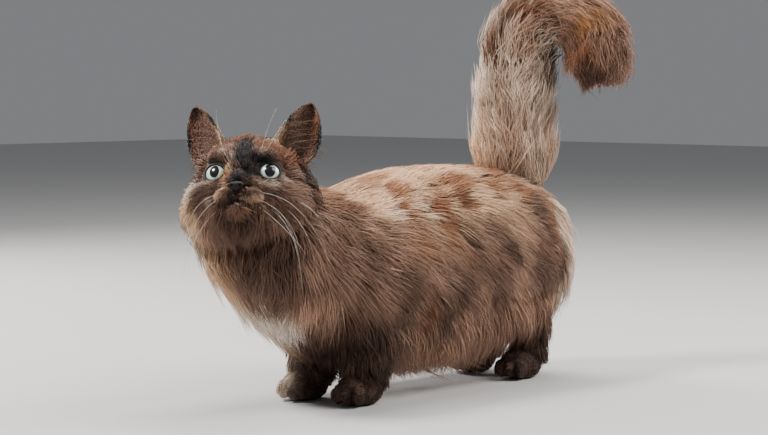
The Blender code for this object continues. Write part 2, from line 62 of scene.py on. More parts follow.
# The unwrap of the coat: its name, its margin and reach, and how large a tuft's patch is on it
UNWRAP_NAME = "OFBake"
UNWRAP_MARGIN = 0.02
UNWRAP_REACH = 0.95
PATCH = 0.003


# Numbers in arrays


def unit(vectors: Array) -> Array:
    """Vectors scaled to a length of one."""
    return vectors / np.maximum(np.linalg.norm(vectors, axis=-1, keepdims=True), 1e-12)


def ease(low: float, high: float, value: Array) -> Array:
    """Rises smoothly from 0 where the value is low to 1 where it is high."""
    share = np.clip((value - low) / (high - low), 0.0, 1.0)
    return share * share * (3 - 2 * share)


def blend(first: Array, second: Array, share: Array) -> Array:
    """Goes from the first colour or vector to the second by a share at each row."""
    return first + (second - first) * np.asarray(share)[..., None]


def turn_about(axis: str, degrees: float) -> Array:
    """The 3 x 3 matrix that turns points about an axis."""
    return np.array(Matrix.Rotation(math.radians(degrees), 3, axis))


@dataclass(frozen=True)
class Noise:
    """Smooth random numbers over space: one at each point of a lattice, eased between them."""

    seed: int
    size: Triple
    octaves: tuple = ((1, 0.68), (2.1, 0.32))

    def lattice(self, cell: Array) -> Array:
        """The number from 0 to 1 that belongs to each whole cell."""
        primes = np.array((73856093, 19349663, 83492791), np.int64)
        mixed = np.bitwise_xor.reduce(cell * primes, axis=-1) ^ (self.seed * 2654435)
        mixed = ((mixed ^ (mixed >> 13)) & 0xFFFFFFF) * 1274126177
        return ((mixed ^ (mixed >> 16)) & 0xFFFFFF) / 0xFFFFFF

    def at(self, points: Array) -> Array:
        """The number at each point, summed over the octaves' finenesses and weights.

        Args:
            points: Rows of x, y and z.

        Returns:
            A number from 0 to 1 for each row.
        """
        total = np.zeros(points.shape[:-1])
        for octave, weight in self.octaves:
            place = points / np.array(self.size) * octave
            cell = np.floor(place).astype(np.int64)
            part = place - cell
            part = part * part * (3 - 2 * part)
            for corner in itertools.product((0, 1), repeat=3):
                share = np.prod(np.where(corner, part, 1 - part), axis=-1)
                total += weight * share * self.lattice(cell + np.array(corner))
        return total


# Meshes from arrays


def mesh_piece(name: str, points: Array, faces: Sequence[Sequence[int]]) -> bpy.types.Object:
    """Links a mesh of points and faces to the scene, shaded smooth.

    Args:
        name: The piece's name.
        points: Rows of x, y and z in the frame's coordinates.
        faces: The corners of each face, counter-clockwise from outside.

    Returns:
        The new object.
    """
    mesh = bpy.data.meshes.new(name)
    mesh.from_pydata(points.tolist(), [], faces)
    mesh.shade_smooth()
    piece = bpy.data.objects.new(name, mesh)
    bpy.context.scene.collection.objects.link(piece)
    return piece


def ring_faces(rings: int, around: int) -> Faces:
    """Faces of closed rings joined one to the next, with a fan to a hub at each end.

    Args:
        rings: How many rings there are.
        around: How many points each has. The two hubs follow the last ring.

    Returns:
        The corners of each face.
    """
    start = np.arange(rings - 1)[:, None] * around
    here = np.arange(around)
    after = (here + 1) % around
    sides = np.stack([start + here, start + after, start + around + after, start + around + here], -1)
    first, last = rings * around, rings * around + 1
    top = (rings - 1) * around
    caps = [(int(b), int(a), first) for a, b in zip(here, after)]
    caps += [(int(top + a), int(top + b), last) for a, b in zip(here, after)]
    return [tuple(face) for face in sides.reshape(-1, 4).tolist()] + caps


def loft_arrays(rings: Array) -> tuple[Array, Faces]:
    """Points and faces of a closed loft, each end closed at the middle of its ring."""
    count, around = rings.shape[:2]
    hubs = np.stack([rings[0].mean(0), rings[-1].mean(0)])
    return np.concatenate([rings.reshape(-1, 3), hubs]), ring_faces(count, around)


def faced_out(piece: bpy.types.Object) -> bpy.types.Object:
    """Turns a closed mesh's faces outwards, by the sign of the volume that they bound."""
    mesh = piece.data
    mesh.calc_loop_triangles()
    corners = np.zeros(len(mesh.loop_triangles) * 3, np.int32)
    mesh.loop_triangles.foreach_get("vertices", corners)
    a, b, c = vertex_array(mesh)[corners.reshape(-1, 3)].transpose(1, 0, 2)
    if np.einsum("ij,ij->", a, np.cross(b, c)) < 0:
        mesh.flip_normals()
    return piece


def vertex_array(mesh: bpy.types.Mesh) -> Array:
    """Rows of a mesh's points."""
    flat = np.zeros(len(mesh.vertices) * 3, np.float32)
    mesh.vertices.foreach_get("co", flat)
    return flat.reshape(-1, 3).astype(float)


def fixed(piece: bpy.types.Object) -> bpy.types.Object:
    """Applies the modifiers of a piece to its mesh."""
    bpy.context.view_layer.update()
    graph = bpy.context.evaluated_depsgraph_get()
    made = bpy.data.meshes.new_from_object(piece.evaluated_get(graph))
    piece.modifiers.clear()
    old, piece.data = piece.data, made
    bpy.data.meshes.remove(old)
    return piece


def remeshed(piece: bpy.types.Object, size: float, rounds: int) -> bpy.types.Object:
    """Fuses the overlapping shells of a mesh into one even skin and smooths it."""
    skin = piece.modifiers.new("one_skin", "REMESH")
    skin.mode = "VOXEL"
    skin.voxel_size = size
    soften = piece.modifiers.new("soften", "SMOOTH")
    soften.factor, soften.iterations = 0.5, rounds
    return fixed(piece)


def cut_or_fused(piece: bpy.types.Object, other: bpy.types.Object, way: str) -> bpy.types.Object:
    """Joins another closed mesh to a piece or takes it away, and removes the other one."""
    step = piece.modifiers.new("step", "BOOLEAN")
    step.operation, step.object, step.solver = way, other, "MANIFOLD"
    fixed(piece)
    bpy.data.objects.remove(other, do_unlink=True)
    return piece


def joined(name: str, parts: Sequence[tuple[Array, Faces]]) -> bpy.types.Object:
    """One mesh of several shells, given as the points and faces of each."""
    points, faces, start = [], [], 0
    for some, corners in parts:
        points.append(some)
        faces += [tuple(c + start for c in face) for face in corners]
        start += len(some)
    return mesh_piece(name, np.concatenate(points), faces)


def store(mesh: bpy.types.Mesh, name: str, values: Array) -> None:
    """Keeps a number, a vector or a colour at each point of a mesh as a named attribute."""
    width = 1 if values.ndim == 1 else values.shape[1]
    kind, key = {1: ("FLOAT", "value"), 3: ("FLOAT_VECTOR", "vector"), 4: ("FLOAT_COLOR", "color")}[width]
    made = mesh.attributes.new(name, kind, "POINT")
    made.data.foreach_set(key, np.ascontiguousarray(values, np.float32).ravel())


# Shader values


class Wire:
    """A shader value that Python's operators join to others with Math nodes."""

    def __init__(self, tree: "Tree", socket: bpy.types.NodeSocket) -> None:
        """Wraps an output socket of a tree."""
        self.tree, self.socket = tree, socket

    def __add__(self, other: "Wire | float") -> "Wire":
        """Sum."""
        return self.tree.maths("ADD", self, other)

    def __sub__(self, other: "Wire | float") -> "Wire":
        """Difference."""
        return self.tree.maths("SUBTRACT", self, other)

    def __rsub__(self, other: "Wire | float") -> "Wire":
        """Difference from a number."""
        return self.tree.maths("SUBTRACT", other, self)

    def __mul__(self, other: "Wire | float") -> "Wire":
        """Product."""
        return self.tree.maths("MULTIPLY", self, other)

    def __truediv__(self, other: "Wire | float") -> "Wire":
        """Quotient."""
        return self.tree.maths("DIVIDE", self, other)

    def __pow__(self, other: "Wire | float") -> "Wire":
        """Power."""
        return self.tree.maths("POWER", self, other)

    __radd__ = __add__
    __rmul__ = __mul__

    def eased(self, low: float, high: float) -> "Wire":
        """Rises smoothly from 0 at the low value to 1 at the high one."""
        node = self.tree.node("ShaderNodeMapRange", {"interpolation_type": "SMOOTHSTEP"},
                              {"Value": self, "From Min": low, "From Max": high})
        return Wire(self.tree, node.outputs["Result"])


class Tree:
    """A material's nodes, with its Principled shader."""

    def __init__(self, name: str) -> None:
        """Makes a material of this name."""
        self.material = bpy.data.materials.new(name)
        self.material.use_nodes = True
        self.nodes, self.links = self.material.node_tree.nodes, self.material.node_tree.links
        self.shader = self.nodes["Principled BSDF"]

    def node(self, kind: str, settings: dict, values: dict) -> bpy.types.Node:
        """Adds a node.

        Args:
            kind: The node's type.
            settings: Its own settings, which are set first.
            values: What each input socket is given, as a Wire, a socket or a plain value.

        Returns:
            The node.
        """
        made = self.nodes.new(kind)
        for key, value in settings.items():
            setattr(made, key, value)
        for key, value in values.items():
            self.feed(made.inputs[key], value)
        return made

    def feed(self, target: bpy.types.NodeSocket, value: object) -> None:
        """Links a value to a socket, or sets it there."""
        if isinstance(value, Wire):
            self.links.new(value.socket, target)
        elif isinstance(value, bpy.types.NodeSocket):
            self.links.new(value, target)
        elif isinstance(value, tuple) and len(value) == 3 and target.type == "RGBA":
            target.default_value = (*value, 1.0)
        else:
            target.default_value = value

    def maths(self, operation: str, *values: "Wire | float") -> Wire:
        """Joins values with a Math node."""
        node = self.node("ShaderNodeMath", {"operation": operation}, dict(enumerate(values)))
        return Wire(self, node.outputs[0])

    def mixed(self, way: str, share: object, first: object, second: object) -> bpy.types.NodeSocket:
        """Mixes two colours in one of the Mix node's ways."""
        node = self.node("ShaderNodeMix", {"data_type": "RGBA", "blend_type": way}, {})
        for target, value in ((node.inputs[0], share), (node.inputs[6], first), (node.inputs[7], second)):
            self.feed(target, value)
        return node.outputs[2]

    def attribute(self, name: str, output: str) -> bpy.types.NodeSocket:
        """Reads a named attribute of the mesh."""
        return self.node("ShaderNodeAttribute", {"attribute_name": name}, {}).outputs[output]

    def number(self, name: str) -> Wire:
        """Reads a named attribute as a number."""
        return Wire(self, self.attribute(name, "Fac"))

    def noise(self, scale: float, detail: float, vector: object = None) -> Wire:
        """Noise over the object's own coordinates, or over a given vector."""
        where = vector or self.node("ShaderNodeTexCoord", {}, {}).outputs["Object"]
        node = self.node("ShaderNodeTexNoise", {}, {"Vector": where, "Scale": scale, "Detail": detail})
        return Wire(self, node.outputs["Fac"])

    def bump(self, height: object, depth: float, strength: float) -> None:
        """Feeds a height to the shader's normal."""
        node = self.node("ShaderNodeBump", {}, {"Height": height, "Distance": depth, "Strength": strength})
        self.links.new(node.outputs["Normal"], self.shader.inputs["Normal"])

    def set(self, **values: object) -> None:
        """Feeds or sets the shader's sockets, named with underscores for spaces."""
        for key, value in values.items():
            self.feed(self.shader.inputs[key.replace("_", " ")], value)


@dataclass(frozen=True)
class CoatFinish:
    """Fur: each strand takes its root's marking, is darker at its root as painted shade deep in the coat,
    and lighter at its tip, partly as pale tipping and partly as painted glow of light through the tips.
    """

    painted_root_shade: float = 0.58
    tip_pale_and_glow: float = 0.30
    strand_range: float = 0.30
    roughness: float = 0.56

    def build(self) -> bpy.types.Material:
        """The fur's material."""
        tree = Tree("fur")
        along, strand = tree.number("along"), tree.number("strand")
        # Painted shade darkens each strand towards its root. The lighter tip is partly pale tipping and
        # partly painted glow of backlight through the tips.
        shade = (self.painted_root_shade + (1 - self.painted_root_shade) * along.eased(0.0, 0.55)) \
            * (1 - self.strand_range / 2 + self.strand_range * strand) \
            * (1 + self.tip_pale_and_glow * along.eased(0.6, 1.0) * strand.eased(0.3, 0.9))
        marked = tree.mixed("MULTIPLY", 1.0, tree.attribute("tone", "Color"), tree.node(
            "ShaderNodeCombineColor", {}, {0: shade, 1: shade, 2: shade}).outputs[0])
        tree.set(Base_Color=marked, Roughness=self.roughness, Specular_IOR_Level=0.30)
        return tree.material


@dataclass(frozen=True)
class SkinFinish:
    """The hide under the fur, in the same markings darkened as painted shade under the coat, with a fine lie
    of short hair as bump.
    """

    shade: float = 0.50

    def build(self) -> bpy.types.Material:
        """The hide's material."""
        tree = Tree("hide")
        fine = tree.noise(900.0, 3.0)
        # Painted shade: the markings at half their brightness, as under the coat, with specks of their full
        # colour.
        dark = tree.mixed("MULTIPLY", 1.0, tree.attribute("tone", "Color"), (self.shade,) * 3)
        tree.set(Base_Color=tree.mixed("MIX", fine.eased(0.35, 0.75) * 0.4, dark,
                                       tree.attribute("tone", "Color")),
                 Roughness=0.75, Specular_IOR_Level=0.25)
        tree.bump(fine, 0.4 * MM, 0.5)
        return tree.material


@dataclass(frozen=True)
class MoistFinish:
    """Bare dark skin, as on the nose, the rims of the lids and the lips."""

    name: str
    colour: Triple
    roughness: float
    grain: float

    def build(self) -> bpy.types.Material:
        """The bare skin's material."""
        tree = Tree(self.name)
        fine = tree.noise(self.grain, 2.0)
        light = tuple(1.8 * c + 0.002 for c in self.colour)
        tree.set(Base_Color=tree.mixed("MIX", fine.eased(0.4, 0.8), self.colour, light),
                 Roughness=self.roughness + 0.15 * fine, Specular_IOR_Level=0.3)
        tree.bump(fine, 0.25 * MM, 0.6)
        return tree.material


@dataclass(frozen=True)
class EyeFinish:
    """An eye: a dark upright pupil in a pale green iris with fibres and a dark rim, and painted shade of the
    upper lid over the top of the iris.

    The gaze attribute holds the angle from the eye's axis, sideways and up, in radians.
    """

    name: str
    pupil: Pair
    inner: Triple = (0.86, 0.97, 0.78)
    outer: Triple = (0.70, 0.93, 0.80)
    rim: float = 0.86

    def build(self) -> bpy.types.Material:
        """The eye's material."""
        tree = Tree(self.name)
        parts = tree.node("ShaderNodeSeparateXYZ", {}, {0: tree.attribute("gaze", "Vector")})
        across, up = Wire(tree, parts.outputs[0]), Wire(tree, parts.outputs[1])
        away = (across * across + up * up) ** 0.5
        sharp = tree.node("ShaderNodeVectorMath", {"operation": "NORMALIZE"},
                          {0: tree.attribute("gaze", "Vector")}).outputs[0]
        fibres = tree.noise(9.0, 3.0, sharp)
        slit = ((across / self.pupil[0]) ** 2.0 + (up / self.pupil[1]) ** 2.0) ** 0.5
        iris = tree.mixed("MIX", away.eased(0.30, 0.72), self.inner, self.outer)
        iris = tree.mixed("MULTIPLY", fibres.eased(0.40, 0.62) * 0.30, iris, (0.55, 0.66, 0.60))
        # Painted shade of the upper lid: the iris darkens towards its top.
        iris = tree.mixed("MULTIPLY", up.eased(0.20, 0.66) * 0.75, iris, (0.24, 0.29, 0.28))
        iris = tree.mixed("MIX", away.eased(self.rim - 0.14, self.rim), iris, (0.012, 0.014, 0.012))
        painted = tree.mixed("MIX", 1 - slit.eased(0.93, 1.05), iris, (0.004, 0.004, 0.005))
        tree.set(Base_Color=painted, Roughness=0.22, Coat_Weight=1.0, Coat_Roughness=0.03,
                 Specular_IOR_Level=0.5)
        return tree.material


@dataclass(frozen=True)
class PlainFinish:
    """One colour with a faint mottle, as on whiskers and the floor."""

    name: str
    colour: Triple
    roughness: float
    mottle: float = 0.05

    def build(self) -> bpy.types.Material:
        """The material."""
        tree = Tree(self.name)
        darker = tuple(c * (1 - self.mottle) for c in self.colour)
        tree.set(Base_Color=tree.mixed("MIX", tree.noise(6.0, 2.0), darker, self.colour),
                 Roughness=self.roughness)
        return tree.material


# The forms of the body


class Form:
    """A surface of two parameters that fur can grow on."""

    low: Pair
    high: Pair
    step = 0.012

    def point(self, where: Array) -> Array:
        """The surface's point for each pair of parameters."""
        raise NotImplementedError

    def holds(self, points: Array, margin: float) -> Array:
        """Whether each point lies inside the form by at least a margin."""
        raise NotImplementedError

    def slopes(self, where: Array) -> tuple[Array, Array]:
        """How the point moves with each parameter, by a small step either way."""
        found = []
        for shift in ((self.step, 0.0), (0.0, self.step)):
            ahead, behind = self.point(where + shift), self.point(where - np.array(shift))
            found.append((ahead - behind) / (2 * self.step))
        return found[0], found[1]

    def normal(self, where: Array) -> Array:
        """The way out of the surface, square to it."""
        first, second = self.slopes(where)
        return unit(np.cross(first, second)) * self.sense

    sense = 1.0

    def drift(self, where: Array, flow: Array) -> Array:
        """The change of the parameters for one metre along a direction laid onto the surface."""
        first, second = self.slopes(where)
        out = unit(np.cross(first, second))
        laid = unit(flow - out * np.sum(flow * out, -1, keepdims=True))
        return np.stack([np.sum(laid * s, -1) / np.maximum(np.sum(s * s, -1), 1e-8)
                         for s in (first, second)], -1)

    def grid(self, rows: int, columns: int) -> Array:
        """Rings of the surface's points over its whole range."""
        first = np.linspace(self.low[0], self.high[0], rows)
        second = np.linspace(self.low[1], self.high[1], columns, endpoint=False)
        return self.point(np.stack(np.meshgrid(first, second, indexing="ij"), -1))


class Tube(Form):
    """A round form along a smooth line of stations, each with its middle and three half sizes.

    The parameters are the station and the angle round it. Angle 0 is the form's back, a quarter turn
    is one of its sides and a half turn its underside.
    """

    def __init__(self, stations: Sequence, up: Triple, shrink: float = 0.0) -> None:
        """Takes the stations in the cat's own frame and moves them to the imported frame."""
        self.rows = np.array([[*middle, *sizes] for middle, *sizes in stations], float)
        self.rows[:, :3] -= MIDDLE
        self.rows[:, 3:] -= shrink
        self.up = np.array(up, float)
        self.low, self.high = (0.0, -math.pi), (len(self.rows) - 1.0, math.pi)
        probe = np.array([[self.high[0] / 2, 0.3]])
        out = self.point(probe) - self.row(probe[:, 0])[:, :3]
        self.sense = 1.0 if np.sum(self.normal(probe) * out) > 0 else -1.0

    def row(self, station: Array) -> Array:
        """All the values at each station, from a curve through the rows by Catmull and Rom's rule."""
        last = len(self.rows) - 1
        station = np.clip(station, 0.0, last)
        first = np.minimum(station.astype(int), last - 1)
        t = (station - first)[..., None]
        before, here = self.rows[np.maximum(first - 1, 0)], self.rows[first]
        there, after = self.rows[first + 1], self.rows[np.minimum(first + 2, last)]
        straight, bend = (there - before) * t, (2 * before - 5 * here + 4 * there - after) * t * t
        return here + 0.5 * (straight + bend + (3 * here - before - 3 * there + after) * t**3)

    def axes(self, station: Array) -> tuple[Array, Array, Array]:
        """The directions along the line, to its side and up, at each station."""
        along = unit(self.row(station + 0.02)[..., :3] - self.row(station - 0.02)[..., :3])
        side = unit(np.cross(along, self.up))
        return along, side, np.cross(side, along)

    def point(self, where: Array) -> Array:
        """The surface's point for each station and angle.

        It is the line's middle, less the side by the half width times the angle's sine, plus the up
        direction by the rise or the fall times its cosine. Past the last station it runs straight on.
        """
        station, angle = where[..., 0], where[..., 1]
        row = self.row(station)
        along, side, up = self.axes(station)
        height = np.where(np.cos(angle) > 0, row[..., 4], row[..., 5]) * np.cos(angle)
        past = np.maximum(station - self.high[0], 0) + np.minimum(station, 0)
        reach = np.linalg.norm(self.rows[-1, :3] - self.rows[-2, :3])
        return (row[..., :3] - side * (row[..., 3] * np.sin(angle))[..., None]
                + up * height[..., None] + along * (past * reach)[..., None])

    def holds(self, points: Array, margin: float) -> Array:
        """Whether each point is inside, from the nearest of many stations and the sizes there."""
        stations = np.linspace(0, self.high[0], 48)
        rows, (along, side, up) = self.row(stations), self.axes(stations)
        apart = points[:, None, :] - rows[None, :, :3]
        near = np.argmin(np.sum(apart * apart, -1), 1)
        gap = apart[np.arange(len(points)), near]
        across, height = np.sum(gap * side[near], -1), np.sum(gap * up[near], -1)
        tall = np.where(height > 0, rows[near, 4], rows[near, 5]) - margin
        wide = rows[near, 3] - margin
        beyond = np.abs(np.sum(gap * along[near], -1)) > 0.006
        inside = (across / np.maximum(wide, 1e-4)) ** 2 + (height / np.maximum(tall, 1e-4)) ** 2 < 1
        return inside & ~beyond


class Star(Form):
    """A rounded form about a middle: a smooth greatest value over the reach of several ellipsoids.

    The parameters are the angle from the pole and the angle round it, in radians.
    """

    def __init__(self, forms: Sequence, place: Array, turn: Array, pole: Sequence[float],
                 soft: float, shrink: float) -> None:
        """Takes each ellipsoid's centre and radii in millimetres, and where the form's middle is."""
        self.centres = np.array([c for c, _ in forms], float)
        self.radii = np.array([r for _, r in forms], float) - shrink
        self.place, self.turn, self.soft = np.array(place, float), turn, soft
        axis = unit(np.array(pole, float))
        first = unit(np.cross(axis, (1.0, 0.0, 0.0)))
        self.basis = np.stack([axis, first, np.cross(axis, first)])
        self.low, self.high = (0.02, -math.pi), (math.pi - 0.02, math.pi)
        probe = np.array([[1.2, 0.4]])
        out = self.point(probe) - self.place
        self.sense = 1.0 if np.sum(self.normal(probe) * out) > 0 else -1.0

    def reach(self, direction: Array) -> Array:
        """How far the surface is along each direction, in millimetres.

        For each ellipsoid it is the distance at which the ray from the middle leaves it, and these
        are blended by the logarithm of the sum of their exponentials.
        """
        total = np.zeros(direction.shape[:-1])
        for centre, radii in zip(self.centres, self.radii):
            ray, start = direction / radii, -centre / radii
            a, b, c = np.sum(ray * ray, -1), ray @ start, start @ start - 1
            inside = b * b - a * c
            leave = (-b + np.sqrt(np.maximum(inside, 0))) / a
            total += np.where(inside > 0, np.exp(leave / self.soft), 0)
        return self.soft * np.log(np.maximum(total, 1e-9))

    def direction(self, where: Array) -> Array:
        """The direction from the middle, in the form's own axes."""
        polar, around = where[..., :1], where[..., 1:]
        axis, first, second = self.basis
        return np.cos(polar) * axis + np.sin(polar) * (np.cos(around) * first + np.sin(around) * second)

    def world(self, local: Array) -> Array:
        """Millimetres from the form's middle as points of the frame."""
        return self.place + local @ self.turn.T * MM

    def local(self, points: Array) -> Array:
        """Points of the frame as millimetres from the form's middle."""
        return (points - self.place) @ self.turn / MM

    def point(self, where: Array) -> Array:
        """The middle plus the reach along the direction."""
        direction = self.direction(where)
        return self.world(direction * self.reach(direction)[..., None])

    def holds(self, points: Array, margin: float) -> Array:
        """Whether each point is nearer to the middle than the surface is."""
        local = self.local(points)
        away = np.linalg.norm(local, axis=-1)
        return away < self.reach(unit(local)) - margin / MM


class Leaf(Form):
    """An ear: a bowed leaf with a rounded tip, from its sunk root to its tip.

    The parameters are the height from the base as a share and the place across, from -1 on the inner
    edge to 1 on the outer one.
    """

    def __init__(self, head: Star, side: int, base: Sequence[float], tip: Sequence[float],
                 half_width: float, cup: float, facing: Sequence[float]) -> None:
        """Takes the ear's place in the head's millimetres, for its left (1) or right (-1) side."""
        mirror = np.array((side, 1, 1), float)
        self.head, self.half_width, self.cup = head, half_width, cup
        self.base = np.array(base, float) * mirror
        self.up = unit(np.array(tip, float) * mirror - self.base)
        self.height = float(np.linalg.norm(np.array(tip, float) * mirror - self.base))
        facing = np.array(facing, float) * mirror
        self.facing = unit(facing - self.up * (facing @ self.up))
        across = unit(np.cross(self.up, self.facing))
        self.across = across * (1 if across[0] * side > 0 else -1)
        self.low, self.high = (-0.16, -1.0), (1.0, 1.0)
        probe = np.array([[0.4, 0.1]])
        out = self.normal(probe) @ head.turn
        self.sense = 1.0 if float(np.sum(out * self.facing)) > 0 else -1.0

    def point(self, where: Array) -> Array:
        """The leaf's point.

        It is the base plus the height along the ear, plus the place across by a width that narrows to
        the tip, less the bowl's depth, which is greatest in the middle.
        """
        t, s = where[..., :1], where[..., 1:]
        over = np.clip(t, 0, 1)
        tuck = 1 - 0.45 * ease(0.26, -0.16, t)
        tuck = tuck * (1 - 0.20 * ease(0.55, 0.05, t) * (s > 0) * s)
        wide = (self.half_width * (1 - over**2.1) ** 0.70 + 1.2) * tuck
        back = self.cup * (1 - 0.55 * over) * (1 - s * s) - 3.0 * t
        local = (self.base + self.up * (t * self.height - 2.0 * s * s)
                 + self.across * (s * wide) - self.facing * back)
        return self.head.world(local)

    def shell(self, thick: float, rim: float, rows: int = 30, columns: int = 22) -> Array:
        """Closed rings round the ear: its cupped face one way and its back the other way."""
        t = np.linspace(self.low[0], self.high[0], rows)
        s = np.cos(np.linspace(math.pi, 0, columns))
        where = np.stack(np.meshgrid(t, s, indexing="ij"), -1)
        middle, out = self.point(where), self.normal(where)
        half = (rim + (thick - rim) * (1 - s**2)[None, :] * (1 - np.clip(t, 0, 1))[:, None]) / 2
        front = middle + out * half[..., None]
        back = (middle - out * half[..., None])[:, ::-1]
        return np.concatenate([front, back], 1)


# The cat's sizes, the same as its solids' sizes


class Side(Enum):
    """The two sides of the cat, and the sense of x on each."""

    LEFT = 1
    RIGHT = -1


@dataclass(frozen=True)
class HeadSizes:
    """The head's place and forms, in its own millimetres as left, back and up."""

    centre: Triple = (0.0048, -0.2065, 0.182)
    turn: float = 35.5
    lift: float = 25.6
    lean: float = 1.9
    fur_depth: float = 2.4
    forms: tuple = (
        ((0, 6, 6), (40, 42, 38)),
        ((0, 2, 18), (37, 32, 28)),
        ((22, -2, -13), (28, 31, 24)),
        ((-22, -2, -13), (28, 31, 24)),
        ((9, -37, -19), (12.5, 11.5, 9)),
        ((-9, -37, -19), (12.5, 11.5, 9)),
        ((0, -35, -5), (9.0, 16.0, 11.0)),
        ((9, -27, -7), (10.5, 15, 10)),
        ((-9, -27, -7), (10.5, 15, 10)),
        ((0, -35, -31), (11.5, 12, 8.5)),
        ((0, -12, -27), (27, 30, 14)),
        ((17, -24, 19), (14, 12, 9)),
        ((-17, -24, 19), (14, 12, 9)),
    )
    lid_radius: float = 12.6
    soft: float = 3.2
    eye: Triple = (20.4, -20.5, 5.6)
    eye_radius: float = 11.0
    opening_shift: Triple = (2.2, -11.0, 0.4)
    opening: Triple = (9.4, 9.0, 7.4)
    opening_spin: float = 14.0
    ear_base: Triple = (34.0, 6.0, 31.0)
    ear_tip: Triple = (48.5, 4.0, 80.0)
    ear_half_width: float = 18.0
    ear_cup: float = 11.0
    ear_outward: Pair = (0.42, 0.66)
    nose: Triple = (0.0, -49.5, -14.5)
    nose_size: Triple = (7.2, 5.0, 4.8)

    def matrix(self) -> Array:
        """The head's turn, nod and lean as one 3 x 3 matrix."""
        return turn_about("Z", self.turn) @ turn_about("X", -self.lift) @ turn_about("Y", -self.lean)

    def form(self, shrink: float) -> Star:
        """The head's surface, shrunk by so many millimetres, with its pole at the nose."""
        lids = [((self.eye[0] * s.value, *self.eye[1:]), (self.lid_radius + 1.0,) * 3) for s in Side]
        return Star([*self.forms, *lids], np.array(self.centre) - MIDDLE, self.matrix(),
                    (0.0, -0.96, -0.28), self.soft, shrink)

    def in_opening(self, local: Array, margin: float) -> Array:
        """Whether each place of the head is inside an eye's opening, grown by a margin."""
        found = np.zeros(local.shape[:-1], bool)
        for side in Side:
            spin = turn_about("Z", self.opening_spin * side.value)
            mirror = np.array((side.value, 1, 1), float)
            middle = (np.array(self.eye) + np.array(self.opening_shift)) * mirror
            found |= np.sum(((local - middle) @ spin / (np.array(self.opening) + margin)) ** 2, -1) < 1
        return found


@dataclass(frozen=True)
class BodySizes:
    """The stations of the body's forms in metres: middle, half width, rise and fall."""

    torso: tuple = (
        ((0, -0.152, 0.116), 0.030, 0.030, 0.028),
        ((0, -0.138, 0.113), 0.047, 0.049, 0.046),
        ((0, -0.112, 0.110), 0.057, 0.064, 0.062),
        ((0, -0.075, 0.110), 0.060, 0.072, 0.070),
        ((0, -0.030, 0.112), 0.059, 0.078, 0.075),
        ((0, 0.015, 0.113), 0.060, 0.080, 0.076),
        ((0, 0.060, 0.114), 0.062, 0.078, 0.074),
        ((0, 0.100, 0.116), 0.061, 0.072, 0.069),
        ((0, 0.134, 0.119), 0.055, 0.063, 0.060),
        ((0, 0.158, 0.122), 0.043, 0.049, 0.047),
        ((0, 0.171, 0.125), 0.023, 0.026, 0.025),
        ((0, 0.1765, 0.126), 0.010, 0.011, 0.011),
        ((0, 0.178, 0.126), 0.001, 0.001, 0.001),
    )
    neck: tuple = (
        ((0.000, -0.066, 0.098), 0.058, 0.074, 0.056),
        ((0.000, -0.112, 0.112), 0.058, 0.066, 0.058),
        ((0.000, -0.148, 0.130), 0.055, 0.050, 0.055),
        ((0.002, -0.178, 0.148), 0.052, 0.037, 0.050),
        ((0.005, -0.200, 0.162), 0.048, 0.030, 0.043),
        ((0.008, -0.214, 0.171), 0.034, 0.020, 0.026),
    )
    tail: tuple = (
        ((0.000, 0.134, 0.160), 0.0195, 0.0195, 0.0195),
        ((0.000, 0.136, 0.195), 0.0215, 0.0215, 0.0215),
        ((0.000, 0.139, 0.235), 0.0225, 0.0225, 0.0225),
        ((0.001, 0.141, 0.275), 0.0220, 0.0220, 0.0220),
        ((0.005, 0.143, 0.308), 0.0210, 0.0210, 0.0210),
        ((0.018, 0.150, 0.330), 0.0200, 0.0200, 0.0200),
        ((0.037, 0.162, 0.336), 0.0190, 0.0190, 0.0190),
        ((0.055, 0.174, 0.325), 0.0185, 0.0185, 0.0185),
        ((0.063, 0.181, 0.304), 0.0180, 0.0180, 0.0180),
        ((0.066, 0.185, 0.286), 0.0130, 0.0130, 0.0130),
        ((0.067, 0.186, 0.278), 0.0060, 0.0060, 0.0060),
    )
    fore_leg: tuple = (
        (0.105, 0.012, 0.019, 0.021),
        (0.080, 0.012, 0.022, 0.025),
        (0.052, 0.010, 0.021, 0.023),
        (0.030, 0.008, 0.018, 0.019),
        (0.012, 0.008, 0.016, 0.016),
    )
    hind_leg: tuple = (
        (0.112, 0.000, 0.020, 0.030),
        (0.086, -0.001, 0.024, 0.033),
        (0.062, 0.007, 0.021, 0.026),
        (0.040, 0.014, 0.0165, 0.018),
        (0.012, 0.011, 0.0150, 0.0155),
    )
    fore_paws: tuple = ((0.029, -0.101), (-0.026, -0.111))
    hind_paws: tuple = ((0.029, 0.113), (-0.030, 0.118))
    paw_rise: float = 0.0128
    paw: Triple = (17.8, 24.0, 16.5)
    toe: Triple = (4.5, 9.0, 9.2)
    toes: tuple = ((-41, 19.0), (-14, 21.5), (14, 21.5), (41, 19.0))
    toe_gaps: tuple = (-27.5, 0.0, 27.5)
    toe_drop: float = 3.6
    leg_fur: float = 3.0 * MM
    paw_fur: float = 1.4

    def leg(self, place: Pair, stations: Sequence) -> Tube:
        """A leg's form, inside its solid by the depth of its fur."""
        rows = [((place[0] * 0.98, place[1] + back, height), wide, deep, deep)
                for height, back, wide, deep in stations]
        return Tube(rows, (0, -1, 0), self.leg_fur)

    def foot(self, place: Pair) -> Star:
        """A paw's form: its body and four toes."""
        forms = [((0, 0, 0), self.paw)]
        for degrees, reach in self.toes:
            t = math.radians(degrees)
            forms.append(((reach * math.sin(t), -reach * math.cos(t), -self.toe_drop), self.toe))
        middle = np.array((*place, self.paw_rise)) - MIDDLE
        return Star(forms, middle, np.eye(3), (0.0, 0.35, 1.0), 0.7, self.paw_fur)


